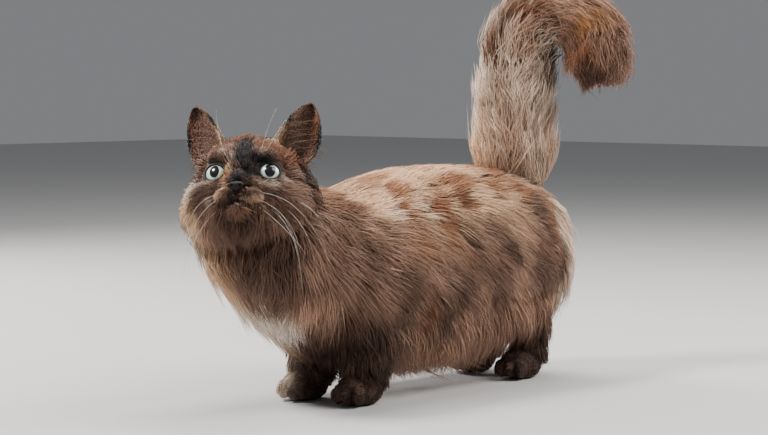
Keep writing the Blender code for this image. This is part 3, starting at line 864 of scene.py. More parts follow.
@dataclass
class Shapes:
    """Every form of the cat, ready for its skin and its coat."""

    head_sizes: HeadSizes = field(default_factory=HeadSizes)
    sizes: BodySizes = field(default_factory=BodySizes)

    def __post_init__(self) -> None:
        """Works out the forms from the sizes."""
        self.head = self.head_sizes.form(self.head_sizes.fur_depth)
        self.torso = Tube(self.sizes.torso, (0, 0, 1))
        self.neck = Tube(self.sizes.neck, (0, 0.43, 0.9))
        self.tail = Tube(self.sizes.tail, (0.45, -0.75, 0.1))
        self.legs = {}
        self.paws = {}
        for kind, places, leg in (("fore", self.sizes.fore_paws, self.sizes.fore_leg),
                                  ("hind", self.sizes.hind_paws, self.sizes.hind_leg)):
            for side, place in zip(Side, places):
                self.legs[kind, side] = self.sizes.leg(place, leg)
                self.paws[kind, side] = self.sizes.foot(place)
        head = self.head_sizes
        self.ears = {side: Leaf(self.head, side.value, head.ear_base, head.ear_tip, head.ear_half_width,
                                head.ear_cup, (out, -1.0, 0.10))
                     for side, out in zip(Side, head.ear_outward)}


# Markings


# The coat's colours, as linear red, green and blue
WHITE = np.array((0.97, 0.82, 0.70))
CREAM = np.array((0.76, 0.50, 0.31))
PALE = np.array((0.84, 0.66, 0.51))
TAN = np.array((0.42, 0.247, 0.167))
GOLD = np.array((0.50, 0.235, 0.085))
RUST = np.array((0.265, 0.094, 0.036))
FAWN = np.array((0.232, 0.133, 0.091))
BROWN = np.array((0.100, 0.050, 0.033))
SEAL = np.array((0.036, 0.018, 0.013))
BLACK = np.array((0.011, 0.008, 0.008))


@dataclass(frozen=True)
class Patch:
    """A soft-edged patch of one colour round a place, with its half sizes in the same unit."""

    place: Triple
    size: Triple
    colour: Triple
    strength: float = 1.0
    edge: float = 0.45
    uneven: float = 1.3

    def over(self, colours: Array, points: Array, ragged: Array) -> Array:
        """Lays the patch over colours.

        Args:
            colours: A colour for each point.
            points: Where each one is.
            ragged: A number from 0 to 1 at each, which makes the patch's edge uneven.

        Returns:
            The colours with the patch on them.
        """
        away = np.linalg.norm((points - np.array(self.place)) / np.array(self.size), axis=-1)
        share = 1 - ease(1 - self.edge, 1 + self.edge, away + self.uneven * (ragged - 0.5))
        return blend(colours, np.array(self.colour), share * self.strength)


def patches(*rows: tuple) -> tuple[Patch, ...]:
    """Patches from rows of a place, three half sizes, a colour and a strength."""
    return tuple(Patch(row[:3], row[3:6], tuple(row[6]), row[7]) for row in rows)


class Markings:
    """The cat's markings, with some painted shade and light among them: one colour for every place on it,
    for its skin and its coat alike.
    """

    face = patches(
        (0, -20, 36, 24, 18, 13, RUST * 0.70, 1.0), (-30, -12, 30, 20, 24, 22, RUST * 0.52, 0.95),
        (30, -8, 30, 22, 24, 22, RUST * 0.62, 0.95), (1, -27, 28, 8, 12, 11, BLACK * 1.5, 1.0),
        (1, -33, 17, 8, 12, 9, BLACK, 1.0), (14, -32, 15, 11, 10, 7, BLACK, 1.0),
        (5, -37, 2, 8.5, 12, 12, BLACK, 1.0), (-3, -47, -6, 7, 9, 8, BLACK, 1.0),
        (-21, -31, 15, 9, 9, 2.4, SEAL, 0.8), (21, -25, 7, 14, 12, 11, BLACK * 1.6, 0.9),
        (-21, -25, 7, 13.5, 12, 10.5, BLACK * 2.2, 0.85), (-16, -32, 24, 2.6, 6, 4.4, PALE * 0.42, 0.60),
        (-10, -26, 30, 1.8, 6, 3.8, PALE * 0.40, 0.55), (-9, -33, 17, 2.2, 6, 5.5, PALE * 0.55, 0.80),
        (-10, -33, 8, 2.4, 7, 5.5, CREAM * 0.75, 0.85), (-13, -32, 0, 2.8, 6, 4.0, GOLD * 1.1, 0.95),
        (-12.5, -42, -11, 4.0, 8, 4.5, CREAM * 0.95, 0.95),
        (-17, -42, -17, 4.6, 8, 5.0, CREAM * 0.80, 0.90), (-25, -33, -20, 4.4, 8, 4.4, PALE * 0.62, 0.85),
        (17, -34, 22, 3.0, 6, 3.2, CREAM * 0.5, 0.75), (9, -22, 34, 2.4, 6, 2.6, TAN, 0.6),
        (-30, -28, -2, 8, 7, 2.0, PALE * 0.6, 0.8), (-31, -27, -10, 9, 9, 7.0, SEAL * 2.4, 0.85),
        (-46, -13, -7, 6.5, 11, 16, PALE * 0.85, 0.95), (-47, -6, -20, 7, 14, 12, CREAM * 0.95, 0.95),
        # The black patch at (0, -46, -27) is partly the dark line of the mouth and partly painted shadow
        # under the nose.
        (-3, -46, -21, 6, 8, 5, SEAL, 1.0), (0, -46, -27, 6, 9, 4, BLACK, 1.0),
        (-10, -42, -28, 7, 10, 6, SEAL * 1.5, 0.9), (9, -48, -19.5, 8, 8, 2.6, SEAL, 0.9),
        (2, -47, -23.5, 4.5, 7, 2.4, PALE, 1.0), (10, -47, -25, 6, 8, 2.6, CREAM * 0.75, 0.90),
        (20, -40, -22, 9, 9, 2.0, CREAM * 0.80, 0.75), (14, -40, -29, 10, 9, 3.4, GOLD * 0.45, 0.9),
        (15, -30, -6, 4.4, 6, 2.6, PALE * 0.60, 0.85), (24, -30, -5, 9, 7, 3.4, PALE * 0.55, 0.85),
        (36, -20, 2, 9, 8, 4.0, PALE * 0.50, 0.85), (40, 2, 14, 10, 18, 5.0, PALE * 0.42, 0.8),
        (46, -14, -8, 14, 18, 12, FAWN * 1.15, 0.8), (39, -21, -24, 12, 12, 8, BROWN * 1.5, 0.8),
        (28, -31, -14, 8, 9, 3.6, SEAL * 1.6, 0.9), (2, -43, -36, 12, 11, 9, SEAL * 1.6, 0.95),
        (12, -28, -38, 16, 16, 8, BROWN, 0.9), (-25, -26, -27, 8, 10, 8, TAN * 0.8, 0.8),
        (48, 15, 20, 15, 17, 24, SEAL * 1.1, 0.95), (-40, -2, -32, 9, 18, 12, CREAM * 0.95, 0.95),
        (-30, -12, -38, 8, 16, 8, TAN * 1.3, 0.85), (0, -34, -41, 14, 16, 8, BROWN * 1.0, 0.85),
    )
    coat = patches(
        (13, -34, 188, 16, 34, 12, CREAM * 1.10, 0.85), (11, 22, 192, 16, 32, 12, CREAM * 1.10, 0.85),
        (34, -92, 166, 16, 22, 14, CREAM * 1.05, 0.95), (21, -103, 172, 12, 17, 14, CREAM, 0.90),
        (43, -78, 159, 18, 12, 6, PALE, 0.90), (46, -38, 160, 18, 12, 8, PALE * 0.95, 0.85),
        (47, 30, 163, 18, 11, 7, CREAM, 0.80), (3, -70, 183, 9, 20, 12, RUST * 1.3, 0.75),
        (28, -62, 176, 11, 8, 12, RUST * 1.1, 0.95), (40, -64, 166, 14, 7, 9, RUST, 0.95),
        (48, -60, 154, 14, 8, 9, RUST, 0.90), (30, 0, 182, 10, 11, 9, RUST * 1.3, 0.60),
        (33, 16, 179, 14, 12, 8, RUST, 0.90), (44, 14, 168, 16, 9, 10, RUST * 0.75, 0.95),
        (44, -20, 164, 16, 9, 8, RUST, 0.90), (49, -17, 156, 16, 7, 8, RUST * 0.7, 0.85),
        (9, 68, 190, 10, 18, 12, RUST * 1.5, 0.55), (7, 98, 187, 12, 18, 14, RUST * 1.3, 0.70),
        (14, 120, 182, 16, 16, 10, RUST * 1.1, 0.85), (37, 60, 176, 14, 9, 9, RUST, 0.80),
        (39, 96, 171, 16, 8, 12, RUST, 0.80), (50, 108, 156, 18, 16, 13, BROWN, 0.90),
        (56, 114, 139, 18, 9, 20, BROWN, 0.80), (61, 56, 125, 18, 11, 10, BROWN * 0.9, 0.95),
        (56, 42, 145, 18, 10, 9, BROWN * 1.2, 0.60), (57, 3, 137, 18, 7, 16, BROWN, 0.70),
        (60, -81, 107, 18, 8, 24, BROWN * 0.9, 0.90), (57, -90, 131, 18, 9, 8, BROWN, 0.65),
        (53, -48, 79, 20, 12, 18, RUST * 0.65, 0.70), (46, -116, 150, 18, 12, 10, TAN * 1.1, 0.75),
        (55, 52, 81, 18, 7, 10, BROWN, 0.75), (57, -12, 90, 18, 9, 16, BROWN * 1.1, 0.60),
        (61, 94, 109, 18, 15, 14, BROWN * 1.1, 0.60), (59, 70, 139, 18, 11, 8, TAN * 1.25, 0.90),
        (59, 68, 91, 18, 9, 18, TAN * 1.1, 0.80), (58, 22, 91, 18, 11, 12, TAN, 0.60),
        (59, -32, 117, 18, 16, 9, TAN, 0.60), (57, -66, 133, 18, 16, 9, GOLD * 0.9, 0.60),
        (59, -50, 111, 18, 11, 8, TAN, 0.60), (58, -96, 121, 18, 5, 9, TAN * 1.3, 0.75),
        (40, 150, 132, 28, 24, 34, PALE * 1.05, 0.95), (36, 154, 92, 26, 22, 30, PALE * 1.0, 0.90),
        (46, 127, 79, 18, 12, 9, TAN * 1.2, 0.75), (42, 50, 59, 18, 11, 8, TAN, 0.70),
        # The tan patch at (30, 6, 44) on the belly's fringe is partly tan fur and partly painted light that
        # lifts the shade under the belly.
        (30, 6, 44, 30, 40, 16, TAN * 1.4, 0.90), (34, 60, 46, 30, 40, 14, TAN * 1.1, 0.85),
        (34, -46, 46, 30, 12, 16, TAN * 1.3, 0.80), (27, 140, 168, 16, 16, 10, TAN * 1.1, 0.90),
        (57, -82, 131, 18, 16, 12, TAN * 0.9, 0.60), (56, -114, 100, 18, 14, 18, FAWN * 1.3, 0.80),
        (28, -96, 170, 26, 14, 12, CREAM * 1.05, 0.90), (43, 6, 169, 16, 9, 9, RUST * 0.7, 0.95),
        (43, 13, 169, 16, 8, 8, RUST * 0.6, 1.0), (43, -28, 165, 16, 8, 8, RUST * 0.8, 1.0),
        (60, 46, 132, 16, 10, 9, BROWN * 1.1, 0.9), (56, 80, 72, 16, 26, 16, TAN * 1.25, 0.8),
        (57, 22, 68, 16, 24, 14, TAN * 1.15, 0.7),
    )
    chest = patches(
        (32, -205, 137, 30, 26, 20, BROWN * 0.62, 0.95), (-6, -200, 138, 20, 24, 14, BROWN * 0.8, 0.80),
        (1, -222, 134, 9, 18, 8, GOLD * 0.75, 0.80), (20, -125, 58, 26, 24, 22, SEAL * 1.2, 0.90),
        (42, -107, 52, 22, 24, 24, SEAL * 1.2, 0.90), (-22, -122, 46, 14, 20, 12, BROWN, 0.80),
        (-33, -200, 122, 22, 38, 26, CREAM * 1.2, 0.95), (-46, -195, 146, 18, 36, 26, PALE * 1.1, 0.95),
        (-25, -181, 94, 12, 20, 15, CREAM * 1.05, 0.95), (-20, -156, 70, 15, 20, 10, CREAM, 0.95),
        # The white chest patches are partly pale fur and partly painted light that lifts the shade of the
        # down-facing chest.
        (-21, -172, 92, 20, 28, 16, WHITE, 1.00), (0, -176, 88, 24, 28, 15, WHITE, 1.00),
        (30, -166, 96, 18, 18, 9, TAN * 1.4, 0.85), (43, -160, 98, 10, 14, 12, TAN * 1.2, 0.60),
        # The pale patch at (-24, -230, 150) on the neck's outline is partly pale fur and partly painted rim
        # light.
        (-24, -230, 150, 15, 20, 28, PALE * 1.15, 0.95), (52, -184, 130, 12, 12, 10, TAN * 1.0, 0.80),
        (-16, -212, 118, 16, 22, 20, CREAM * 1.15, 0.90),
    )
    brush = patches(
        (-18, 125, 249, 10, 14, 40, PALE * 1.10, 0.95), (-14, 128, 299, 10, 13, 16, PALE, 0.85),
        (-3, 122, 299, 7, 12, 14, RUST * 0.5, 0.95), (6, 127, 326, 6, 12, 14, SEAL * 1.6, 0.85),
        (-9, 119, 228, 6, 10, 26, GOLD, 0.50), (6, 119, 252, 5, 8, 24, RUST, 0.45),
        # The near-black patches at (20, 156, 293) and (21, 155, 307) are painted shadow on the inner side of
        # the tail's bend.
        (20, 130, 255, 9, 12, 20, PALE, 0.90), (20, 156, 293, 11, 16, 15, SEAL * 1.6, 0.95),
        (19, 156, 271, 11, 16, 10, BROWN, 0.75), (36, 138, 333, 12, 16, 10, RUST * 0.7, 0.80),
        (23, 133, 338, 13, 17, 8, RUST * 0.8, 0.70), (-12, 124, 200, 16, 15, 12, CREAM * 1.05, 1.00),
        (17, 126, 307, 10, 14, 18, TAN * 1.2, 0.60), (21, 155, 307, 9, 14, 12, SEAL * 2.0, 0.95),
    )
    tip = patches(
        (43, 163, 314, 8, 12, 12, TAN * 1.3, 0.80), (63, 158, 321, 5, 14, 8, GOLD * 1.35, 0.80),
        (70, 163, 326, 13, 17, 8, GOLD * 0.9, 0.85), (50, 168, 300, 7, 13, 11, TAN * 1.6, 0.90),
        (64, 168, 301, 9, 14, 10, RUST * 1.2, 0.70), (68, 174, 286, 10, 14, 11, SEAL * 1.9, 1.00),
        (78, 180, 276, 8, 14, 9, FAWN * 1.2, 0.80), (56, 175, 284, 6, 10, 14, BROWN, 0.85),
        (50, 172, 292, 7, 11, 16, TAN * 1.4, 0.80), (83, 184, 305, 9, 14, 18, FAWN * 1.2, 0.75),
        (65, 182, 274, 16, 19, 5, FAWN * 1.2, 0.80),
    )

    def __init__(self, shapes: Shapes) -> None:
        """Takes the cat's forms, and makes the noises that ragged edges and dapples come from."""
        self.shapes = shapes
        self.ragged = Noise(3, (0.010, 0.010, 0.010))
        self.fine = Noise(5, (0.0028, 0.0028, 0.0028))
        self.dapple = Noise(11, (0.050, 0.020, 0.050))
        self.broad = Noise(17, (0.045, 0.045, 0.045))

    def laid(self, marks: Sequence[Patch], colours: Array, places: Array, ragged: Array) -> Array:
        """Colours with each patch laid on in turn, at places in the patches' own units."""
        for mark in marks:
            colours = mark.over(colours, places, ragged)
        return colours

    def head(self, points: Array) -> Array:
        """Colours on the head: brown, darkest on the brow and the bridge, with cream streaks."""
        local = self.shapes.head.local(points)
        ragged = 0.45 * self.ragged.at(points * 1.6) + 0.55 * self.fine.at(points)
        colours = blend(BROWN * 1.25, FAWN * 1.05, ease(10, -20, local[:, 2])
                        * ease(0.2, 0.7, self.broad.at(points)))
        return self.laid(self.face, colours, local, ragged)

    def body(self, points: Array) -> Array:
        """Colours on the body: a cream back with rusty dapples over grey-brown flanks.

        The dapples of the left side stand on the right side too, a little shifted.
        """
        own = points + MIDDLE
        x, y, z = own.T
        height = (z - 0.11) / 0.08
        broad, ragged = self.broad.at(points), self.ragged.at(points)
        dapple = self.dapple.at(points)
        light = ease(0.15, 0.85, height + 0.5 * (broad - 0.5))
        colours = blend(FAWN * 1.15, CREAM * 0.85, light)
        colours = blend(colours, RUST * 1.1, ease(0.48, 0.62, dapple) * ease(-0.1, 0.5, height) * 0.75)
        colours = blend(colours, BROWN * 1.1, ease(0.48, 0.66, dapple) * ease(0.4, -0.2, height) * 0.75)
        colours = blend(colours, TAN * 1.1, ease(-0.55, -0.95, height) * ease(-0.09, -0.05, y) * 0.8)
        colours = blend(colours, PALE * 0.66, ease(0.132, 0.152, y) * ease(1.0, 0.5, height) * 0.9)
        front = ease(-0.085, -0.120, y)
        throat = blend(FAWN * 1.15, BROWN * 1.35, ease(0.4, 0.6, broad))
        colours = blend(colours, throat, front * ease(1.0, 0.5, height) * 0.85)
        side = np.where(x[:, None] > -0.004, own, own * (-1, 1, 1) + (0, 0.013, 0.004)) / MM
        back = self.laid(self.coat, colours, side, ragged)
        return self.laid(self.chest, back, own / MM, ragged)

    def tail(self, points: Array) -> Array:
        """Colours on the tail: cream with rusty streaks, near-black painted shadow inside its bend, and a
        golden tip with a dark patch.
        """
        own, ragged = points + MIDDLE, self.ragged.at(points * 1.3)
        streak = Noise(23, (0.012, 0.012, 0.070)).at(points)
        colours = blend(PALE * 0.80, TAN * 0.95, ease(0.44, 0.62, streak) * 0.85)
        colours = self.laid(self.brush, colours, own / MM, ragged)
        past = ease(0.034, 0.048, own[:, 0])
        ball = blend(TAN * 1.1, FAWN * 1.5, ease(0.40, 0.62, self.broad.at(points * 1.7)))
        return blend(colours, self.laid(self.tip, ball, own / MM, ragged), past)

    def limb(self, points: Array) -> Array:
        """Colours low on the legs and on the paws: dark brown, pale on two toes of the right forepaw."""
        ragged = self.ragged.at(points * 1.4)
        colours = blend(SEAL * 1.7, FAWN, ease(0.52, 0.72, ragged) * 0.6)
        colours = blend(colours, BROWN * 1.5, ease(0.030, 0.060, points[:, 2]) * 0.8)
        outer_toe = np.exp(-(((points[:, 0] + 0.046) / 0.010) ** 2 + ((points[:, 1] + 0.110) / 0.012) ** 2))
        return blend(colours, PALE, np.clip(outer_toe * 1.5, 0, 1) * 0.9)

    def toe_gap_shade(self, away: Array) -> Array:
        """How deep in a gap between two toes each place is, given from its paw's middle, for the painted
        shade in the gaps.
        """
        turn = np.degrees(np.arctan2(away[:, 0], -away[:, 1]))
        beside = np.min([np.abs(turn - gap) for gap in self.shapes.sizes.toe_gaps], 0)
        reach = np.linalg.norm(away[:, :2], axis=1)
        return ease(6.5, 2.0, beside) * ease(0.016, 0.021, reach) * ease(0.034, 0.030, reach) \
            * ease(0.008, 0.003, away[:, 2])

    def ear(self, points: Array, side: Side) -> Array:
        """Colours on an ear: a brown cup, rusty on its outer part as painted glow of light through the ear,
        much more on the left ear, with a near-black rim, and a dark back.
        """
        leaf = self.shapes.ears[side]
        local = self.shapes.head.local(points) - leaf.base
        up, across = local @ leaf.up / leaf.height, local @ leaf.across / leaf.half_width
        deep = local @ -leaf.facing
        colours = blend(BROWN * 1.7, FAWN * 0.9, ease(0.4, 0.7, self.ragged.at(points)))
        # Painted light: rust over the cup's outer part stands for light shining through the ear, much
        # stronger on the left ear.
        painted_glow = 0.45 if side is Side.LEFT else 0.1
        colours = blend(colours, RUST, ease(0.1, 0.6, across) * ease(0.2, 0.6, up) * painted_glow)
        edge = np.maximum(ease(0.90, 1.0, up), ease(0.84, 1.02, np.abs(across) + 0.40 * np.clip(up, 0, 1)))
        colours = blend(colours, BLACK * 1.4, edge)
        inner_rim = ease(-0.45, -0.8, across + 0.5 * up) * ease(0.75, 0.3, up)
        colours = blend(colours, CREAM * 0.75, inner_rim * 0.8)
        return blend(colours, SEAL * 1.2, ease(-2.0, 3.0, deep - 9.0 * (1 - across**2)))

    def at(self, points: Array) -> Array:
        """The colour at any place, by which part of the cat it is on.

        Args:
            points: Rows of x, y and z in the frame.

        Returns:
            Rows of red, green and blue.
        """
        own = points + MIDDLE
        colours = self.body(points)
        low, gap = np.zeros(len(points)), np.zeros(len(points))
        for (kind, side), paw in self.shapes.paws.items():
            near = np.linalg.norm(points[:, :2] - paw.place[:2], axis=1)
            top = 0.062 if kind == "fore" else 0.066
            low = np.maximum(low, ease(0.045, 0.030, near) * ease(top, top - 0.03, own[:, 2]))
            gap = np.maximum(gap, self.toe_gap_shade(points - paw.place))
        # Painted shade: the colours darken in the gaps between the toes.
        colours = blend(colours, self.limb(points), low) * (1 - 0.75 * gap)[:, None]
        on_tail = ease(0.168, 0.190, own[:, 2]) * ease(0.09, 0.11, own[:, 1])
        colours = blend(colours, self.tail(points), on_tail)
        away = np.linalg.norm(self.shapes.head.local(points), axis=1)
        on_head = ease(62.0, 50.0, away)
        colours = blend(colours, self.head(points), on_head)
        for side, leaf in self.shapes.ears.items():
            rise = (self.shapes.head.local(points) - leaf.base) @ leaf.up
            near = np.linalg.norm(self.shapes.head.local(points) - leaf.base - leaf.up * 22, axis=1)
            colours = blend(colours, self.ear(points, side), ease(-2, 5, rise) * ease(46, 38, near))
        return np.clip(colours * (0.90 + 0.2 * self.fine.at(points))[:, None], 0, 1)


# The skin


@dataclass
class Skin:
    """One closed hide over the whole cat, with its ears, the openings of its eyes and its mouth."""

    shapes: Shapes
    body_cell: float = 2.3 * MM
    head_cell: float = 1.0 * MM
    ear_thick: float = 2.3 * MM
    ear_rim: float = 1.0 * MM
    mouth_wire: float = 0.8 * MM
    body_rings: tuple[int, int] = (90, 64)
    head_rings: tuple[int, int] = (170, 200)

    def body(self) -> bpy.types.Object:
        """The torso, neck, tail, legs and paws as one smooth shell."""
        forms = [self.shapes.torso, self.shapes.neck, self.shapes.tail,
                 *self.shapes.legs.values(), *self.shapes.paws.values()]
        parts = []
        for form in forms:
            rings = form.grid(*self.body_rings)
            rings[..., 2] = np.maximum(rings[..., 2], FLOOR_CLEARANCE)
            parts.append(loft_arrays(rings))
        return remeshed(joined("skin", parts), self.body_cell, 3)

    def head(self) -> bpy.types.Object:
        """The head with both ears, the openings of the eyes and the line of the mouth."""
        rings = self.shapes.head.grid(*self.head_rings)
        head = remeshed(joined("skin_head", [loft_arrays(rings)]), self.head_cell, 2)
        for leaf in self.shapes.ears.values():
            points, faces = loft_arrays(leaf.shell(self.ear_thick, self.ear_rim))
            cut_or_fused(head, faced_out(mesh_piece("ear", points, faces)), "UNION")
        for cutter in (*self.openings(), *self.mouth_lines()):
            cut_or_fused(head, faced_out(cutter), "DIFFERENCE")
        return head

    def openings(self) -> list[bpy.types.Object]:
        """Stretched balls in the shape of the openings between the lids."""
        sizes, made = self.shapes.head_sizes, []
        for side in Side:
            middle = (np.array(sizes.eye) + np.array(sizes.opening_shift)) * (side.value, 1, 1)
            spin = turn_about("Z", sizes.opening_spin * side.value)
            polar = np.linspace(0.02, math.pi - 0.02, 40)[:, None]
            around = np.linspace(0, 2 * math.pi, 64, endpoint=False)[None, :]
            ball = np.stack([np.sin(polar) * np.cos(around), np.sin(polar) * np.sin(around),
                             np.cos(polar) + 0 * around], -1) * sizes.opening
            made.append(mesh_piece("opening", *loft_arrays(self.shapes.head.world(ball @ spin.T + middle))))
        return made

    def mouth_paths(self) -> list[Array]:
        """The line of the mouth on the head's surface: down from the nose, then out under each pad."""
        lines = [[(0.0, -24 - 3.0 * k) for k in np.linspace(0, 3, 12)]]
        for side in Side:
            lines.append([(side.value * 7.0 * k, -33 - 2.2 * k + 0.95 * k * k)
                          for k in np.linspace(0, 5, 24)])
        paths = []
        for line in lines:
            turn, rise = np.radians(np.array(line)).T
            way = np.stack([np.sin(turn) * np.cos(rise), -np.cos(turn) * np.cos(rise), np.sin(rise)], -1)
            paths.append(self.shapes.head.world(way * self.shapes.head.reach(way)[:, None]))
        return paths

    def mouth_lines(self) -> list[bpy.types.Object]:
        """Thin round wires along the mouth, which cut its groove."""
        return [mesh_piece("mouth", *loft_arrays(pipe(path, self.mouth_wire, 8)))
                for path in self.mouth_paths()]

    def build(self, markings: Markings) -> bpy.types.Object:
        """The finished skin in its markings, which stands for every node of flesh."""
        skin = cut_or_fused(self.body(), self.head(), "UNION")
        skin.name = "skin"
        skin.data.shade_smooth()
        points = vertex_array(skin.data)
        store(skin.data, "tone", np.column_stack([markings.at(points), np.ones(len(points))]))
        skin.data.materials.clear()
        skin.data.materials.append(SkinFinish().build())
        sides = ("left", "right")
        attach(skin, "root")
        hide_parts("head", "neck", "torso", "tail_base", "tail_bend", "tail_tip",
                    *(f"{part}_{side}" for part in ("ear", "foreleg", "forepaw", "hindleg", "hindpaw")
                      for side in sides))
        return skin


def pipe(path: Array, radius: float | Array, around: int) -> Array:
    """Rings of a round profile carried along a path.

    Args:
        path: The path's points.
        radius: The profile's radius, one for all or one at each point.
        around: How many points each ring has.

    Returns:
        The rings, each square to the path, with the profile turned as little as the path allows.
    """
    ahead = unit(np.gradient(path, axis=0))
    across = unit(np.cross(ahead, (0.23, 0.31, 0.92)))
    upward = np.cross(across, ahead)
    angle = np.linspace(0, 2 * math.pi, around, endpoint=False)
    ring = np.cos(angle)[None, :, None] * across[:, None] + np.sin(angle)[None, :, None] * upward[:, None]
    return path[:, None] + ring * np.broadcast_to(radius, len(path))[:, None, None]


# The coat


@dataclass(frozen=True)
class Fur:
    """How one stretch of the coat grows, over a range of a form's two parameters.

    count is how many tufts it has and span where they root. length, lift and width are metres: how
    far a tuft runs along, how far its tip stands off and how wide it is. bands is how many lengths it
    is drawn in. flow gives the direction of the lie at each point, hang how far the tip sags, clump
    the spacing of the locks that the tufts draw together in and pull how strongly they do so. mix is
    how far off a tuft may take its colour and stray how far it turns from the lie, both as deviations.
    sunk lets it root inside the forms that it comes out of, scale gives the size at each root, keep says
    where roots may be and slot names a material slot that is handed on but not used.
    """

    name: str
    form: Form
    count: int
    span: tuple[Pair, Pair]
    length: float
    lift: float
    width: float
    flow: Flow
    hang: Triple = (0.0, 0.0, 0.0)
    bands: int = 3
    clump: float = 0.009
    pull: float = 0.55
    wave: float = 0.0012
    scale: Callable[[Array], Array] | None = None
    keep: Callable[[Array], Array] | None = None
    mix: float = 0.0020
    stray: float = 0.12
    sunk: bool = False
    slot: str = "coat_fawn"


class Coat:
    """Grows the fur: solid three-sided tufts that taper, bend and overlap along their lie."""

    flat = 0.34
    sink = 1.0 * MM
    clear = 1.5 * MM
    tries_each = 4

    def __init__(self, shapes: Shapes, markings: Markings) -> None:
        """Takes the forms that block one another and the markings that the tufts take."""
        self.shapes, self.markings = shapes, markings
        self.finish = CoatFinish().build()
        self.blockers = [shapes.head, shapes.neck, shapes.torso, shapes.tail, *shapes.legs.values(),
                         *shapes.paws.values()]

    def roots(self, fur: Fur, draw: np.random.Generator) -> Array:
        """Random roots, as many for each bit of surface as its area asks, none inside the cat."""
        low, high = np.array(fur.span).T
        tries = low + (high - low) * draw.random((fur.count * self.tries_each, 2))
        first, second = fur.form.slopes(tries)
        weight = np.linalg.norm(np.cross(first, second), axis=-1)
        points = fur.form.point(tries)
        for blocker in self.blockers:
            if blocker is not fur.form and not fur.sunk:
                weight = weight * ~blocker.holds(points, self.clear)
        if fur.keep:
            weight = weight * fur.keep(points)
        count = min(fur.count, int(np.count_nonzero(weight)))
        picked = draw.choice(len(tries), count, replace=False, p=weight / weight.sum())
        return tries[picked]

    def clumps(self, fur: Fur, where: Array, metres: Array) -> tuple[Array, Array]:
        """The clump that each root belongs to: the nearest of a lattice of shifted middles.

        Args:
            fur: The stretch of coat.
            where: The roots' parameters.
            metres: How many metres each parameter's unit is, on the whole.

        Returns:
            The way to the clump's middle in parameters, and three random numbers of the clump.
        """
        place = where * metres / fur.clump
        cell = np.floor(place).astype(np.int64)
        best, way, luck = np.full(len(where), 1e9), np.zeros_like(where), np.zeros((len(where), 3))
        for shift in itertools.product((-1, 0, 1), repeat=2):
            near = cell + np.array(shift)
            numbers = [Noise(31 + k, (1, 1, 1)).lattice(np.column_stack([near, 0 * near[:, :1]]))
                       for k in range(5)]
            middle = near + 0.1 + 0.8 * np.stack(numbers[:2], -1)
            gap = middle - place
            away = np.sum(gap * gap, -1)
            closer = away < best
            best = np.where(closer, away, best)
            way = np.where(closer[:, None], gap * fur.clump / metres, way)
            luck = np.where(closer[:, None], np.stack(numbers[2:], -1), luck)
        return way, luck

    def lines(self, fur: Fur, where: Array, draw: np.random.Generator) -> tuple[Array, Array, Array]:
        """The middle line of each tuft.

        The parameters go from the root along the lie and draw towards the clump's middle. The line
        rises from below the skin as 1 - (1 - t) squared, sags as t squared and waves a little.

        Args:
            fur: The stretch of coat.
            where: The roots' parameters.
            draw: The source of random numbers.

        Returns:
            The line's points, the way out at each, and the parameters over half way along each tuft.
        """
        count = len(where)
        points, out = fur.form.point(where), fur.form.normal(where)
        first, second = fur.form.slopes(where)
        metres = np.array([np.median(np.linalg.norm(s, axis=-1)) for s in (first, second)])
        way, luck = self.clumps(fur, where, metres)
        flow = unit(fur.flow(points, out, where))
        aside = np.cross(out, flow)
        swing = (luck[:, :1] - 0.5) * 0.50 + draw.normal(0, fur.stray, (count, 1))
        drift = fur.form.drift(where, flow + aside * swing)
        size = (0.72 + 0.5 * draw.random(count)) * (0.85 + 0.3 * luck[:, 1])
        if fur.scale:
            size = size * fur.scale(points)
        lift = fur.lift * size * (0.55 + 0.65 * luck[:, 1] + 0.35 * draw.random(count))
        t = np.linspace(0, 1, fur.bands + 1)[None, :, None] ** 0.9
        path = where[:, None] + drift[:, None] * (fur.length * size)[:, None, None] * t \
            + way[:, None] * fur.pull * t**1.6
        flat = path.reshape(-1, 2)
        surface = fur.form.point(flat).reshape(count, -1, 3)
        upward = fur.form.normal(flat).reshape(count, -1, 3)
        rise = -self.sink + (lift[:, None, None] + self.sink) * (1 - (1 - t) ** 2)
        wave = fur.wave * np.sin(2 * math.pi * (1.1 * t + luck[:, 2][:, None, None])) * t
        line = surface + upward * rise + aside[:, None] * wave \
            + np.array(fur.hang) * (size * (0.7 + 0.6 * luck[:, 2]))[:, None, None] * t**2
        line[..., 2] = np.maximum(line[..., 2], 2 * FLOOR_CLEARANCE)
        return line, upward, path[:, 2 * fur.bands // 3]

    def grow(self, fur: Fur, seed: int) -> bpy.types.Object:
        """Grows one stretch of coat as one mesh.

        Args:
            fur: The stretch of coat.
            seed: The seed of its random numbers.

        Returns:
            The piece, with its markings and its unwrap.
        """
        draw = np.random.default_rng(seed)
        where = self.roots(fur, draw)
        line, upward, middle = self.lines(fur, where, draw)
        place = fur.form.point(middle)
        tone = self.markings.at(place + draw.normal(0, fur.mix, place.shape))
        low, high = np.array(fur.form.low), np.array(fur.form.high)
        spot = UNWRAP_MARGIN + UNWRAP_REACH * (where - low) / (high - low)
        return self.tufts(fur.name, line, upward, fur.width * (0.75 + 0.5 * draw.random(len(where))),
                          tone, draw.random(len(where)), spot, fur.slot, draw)

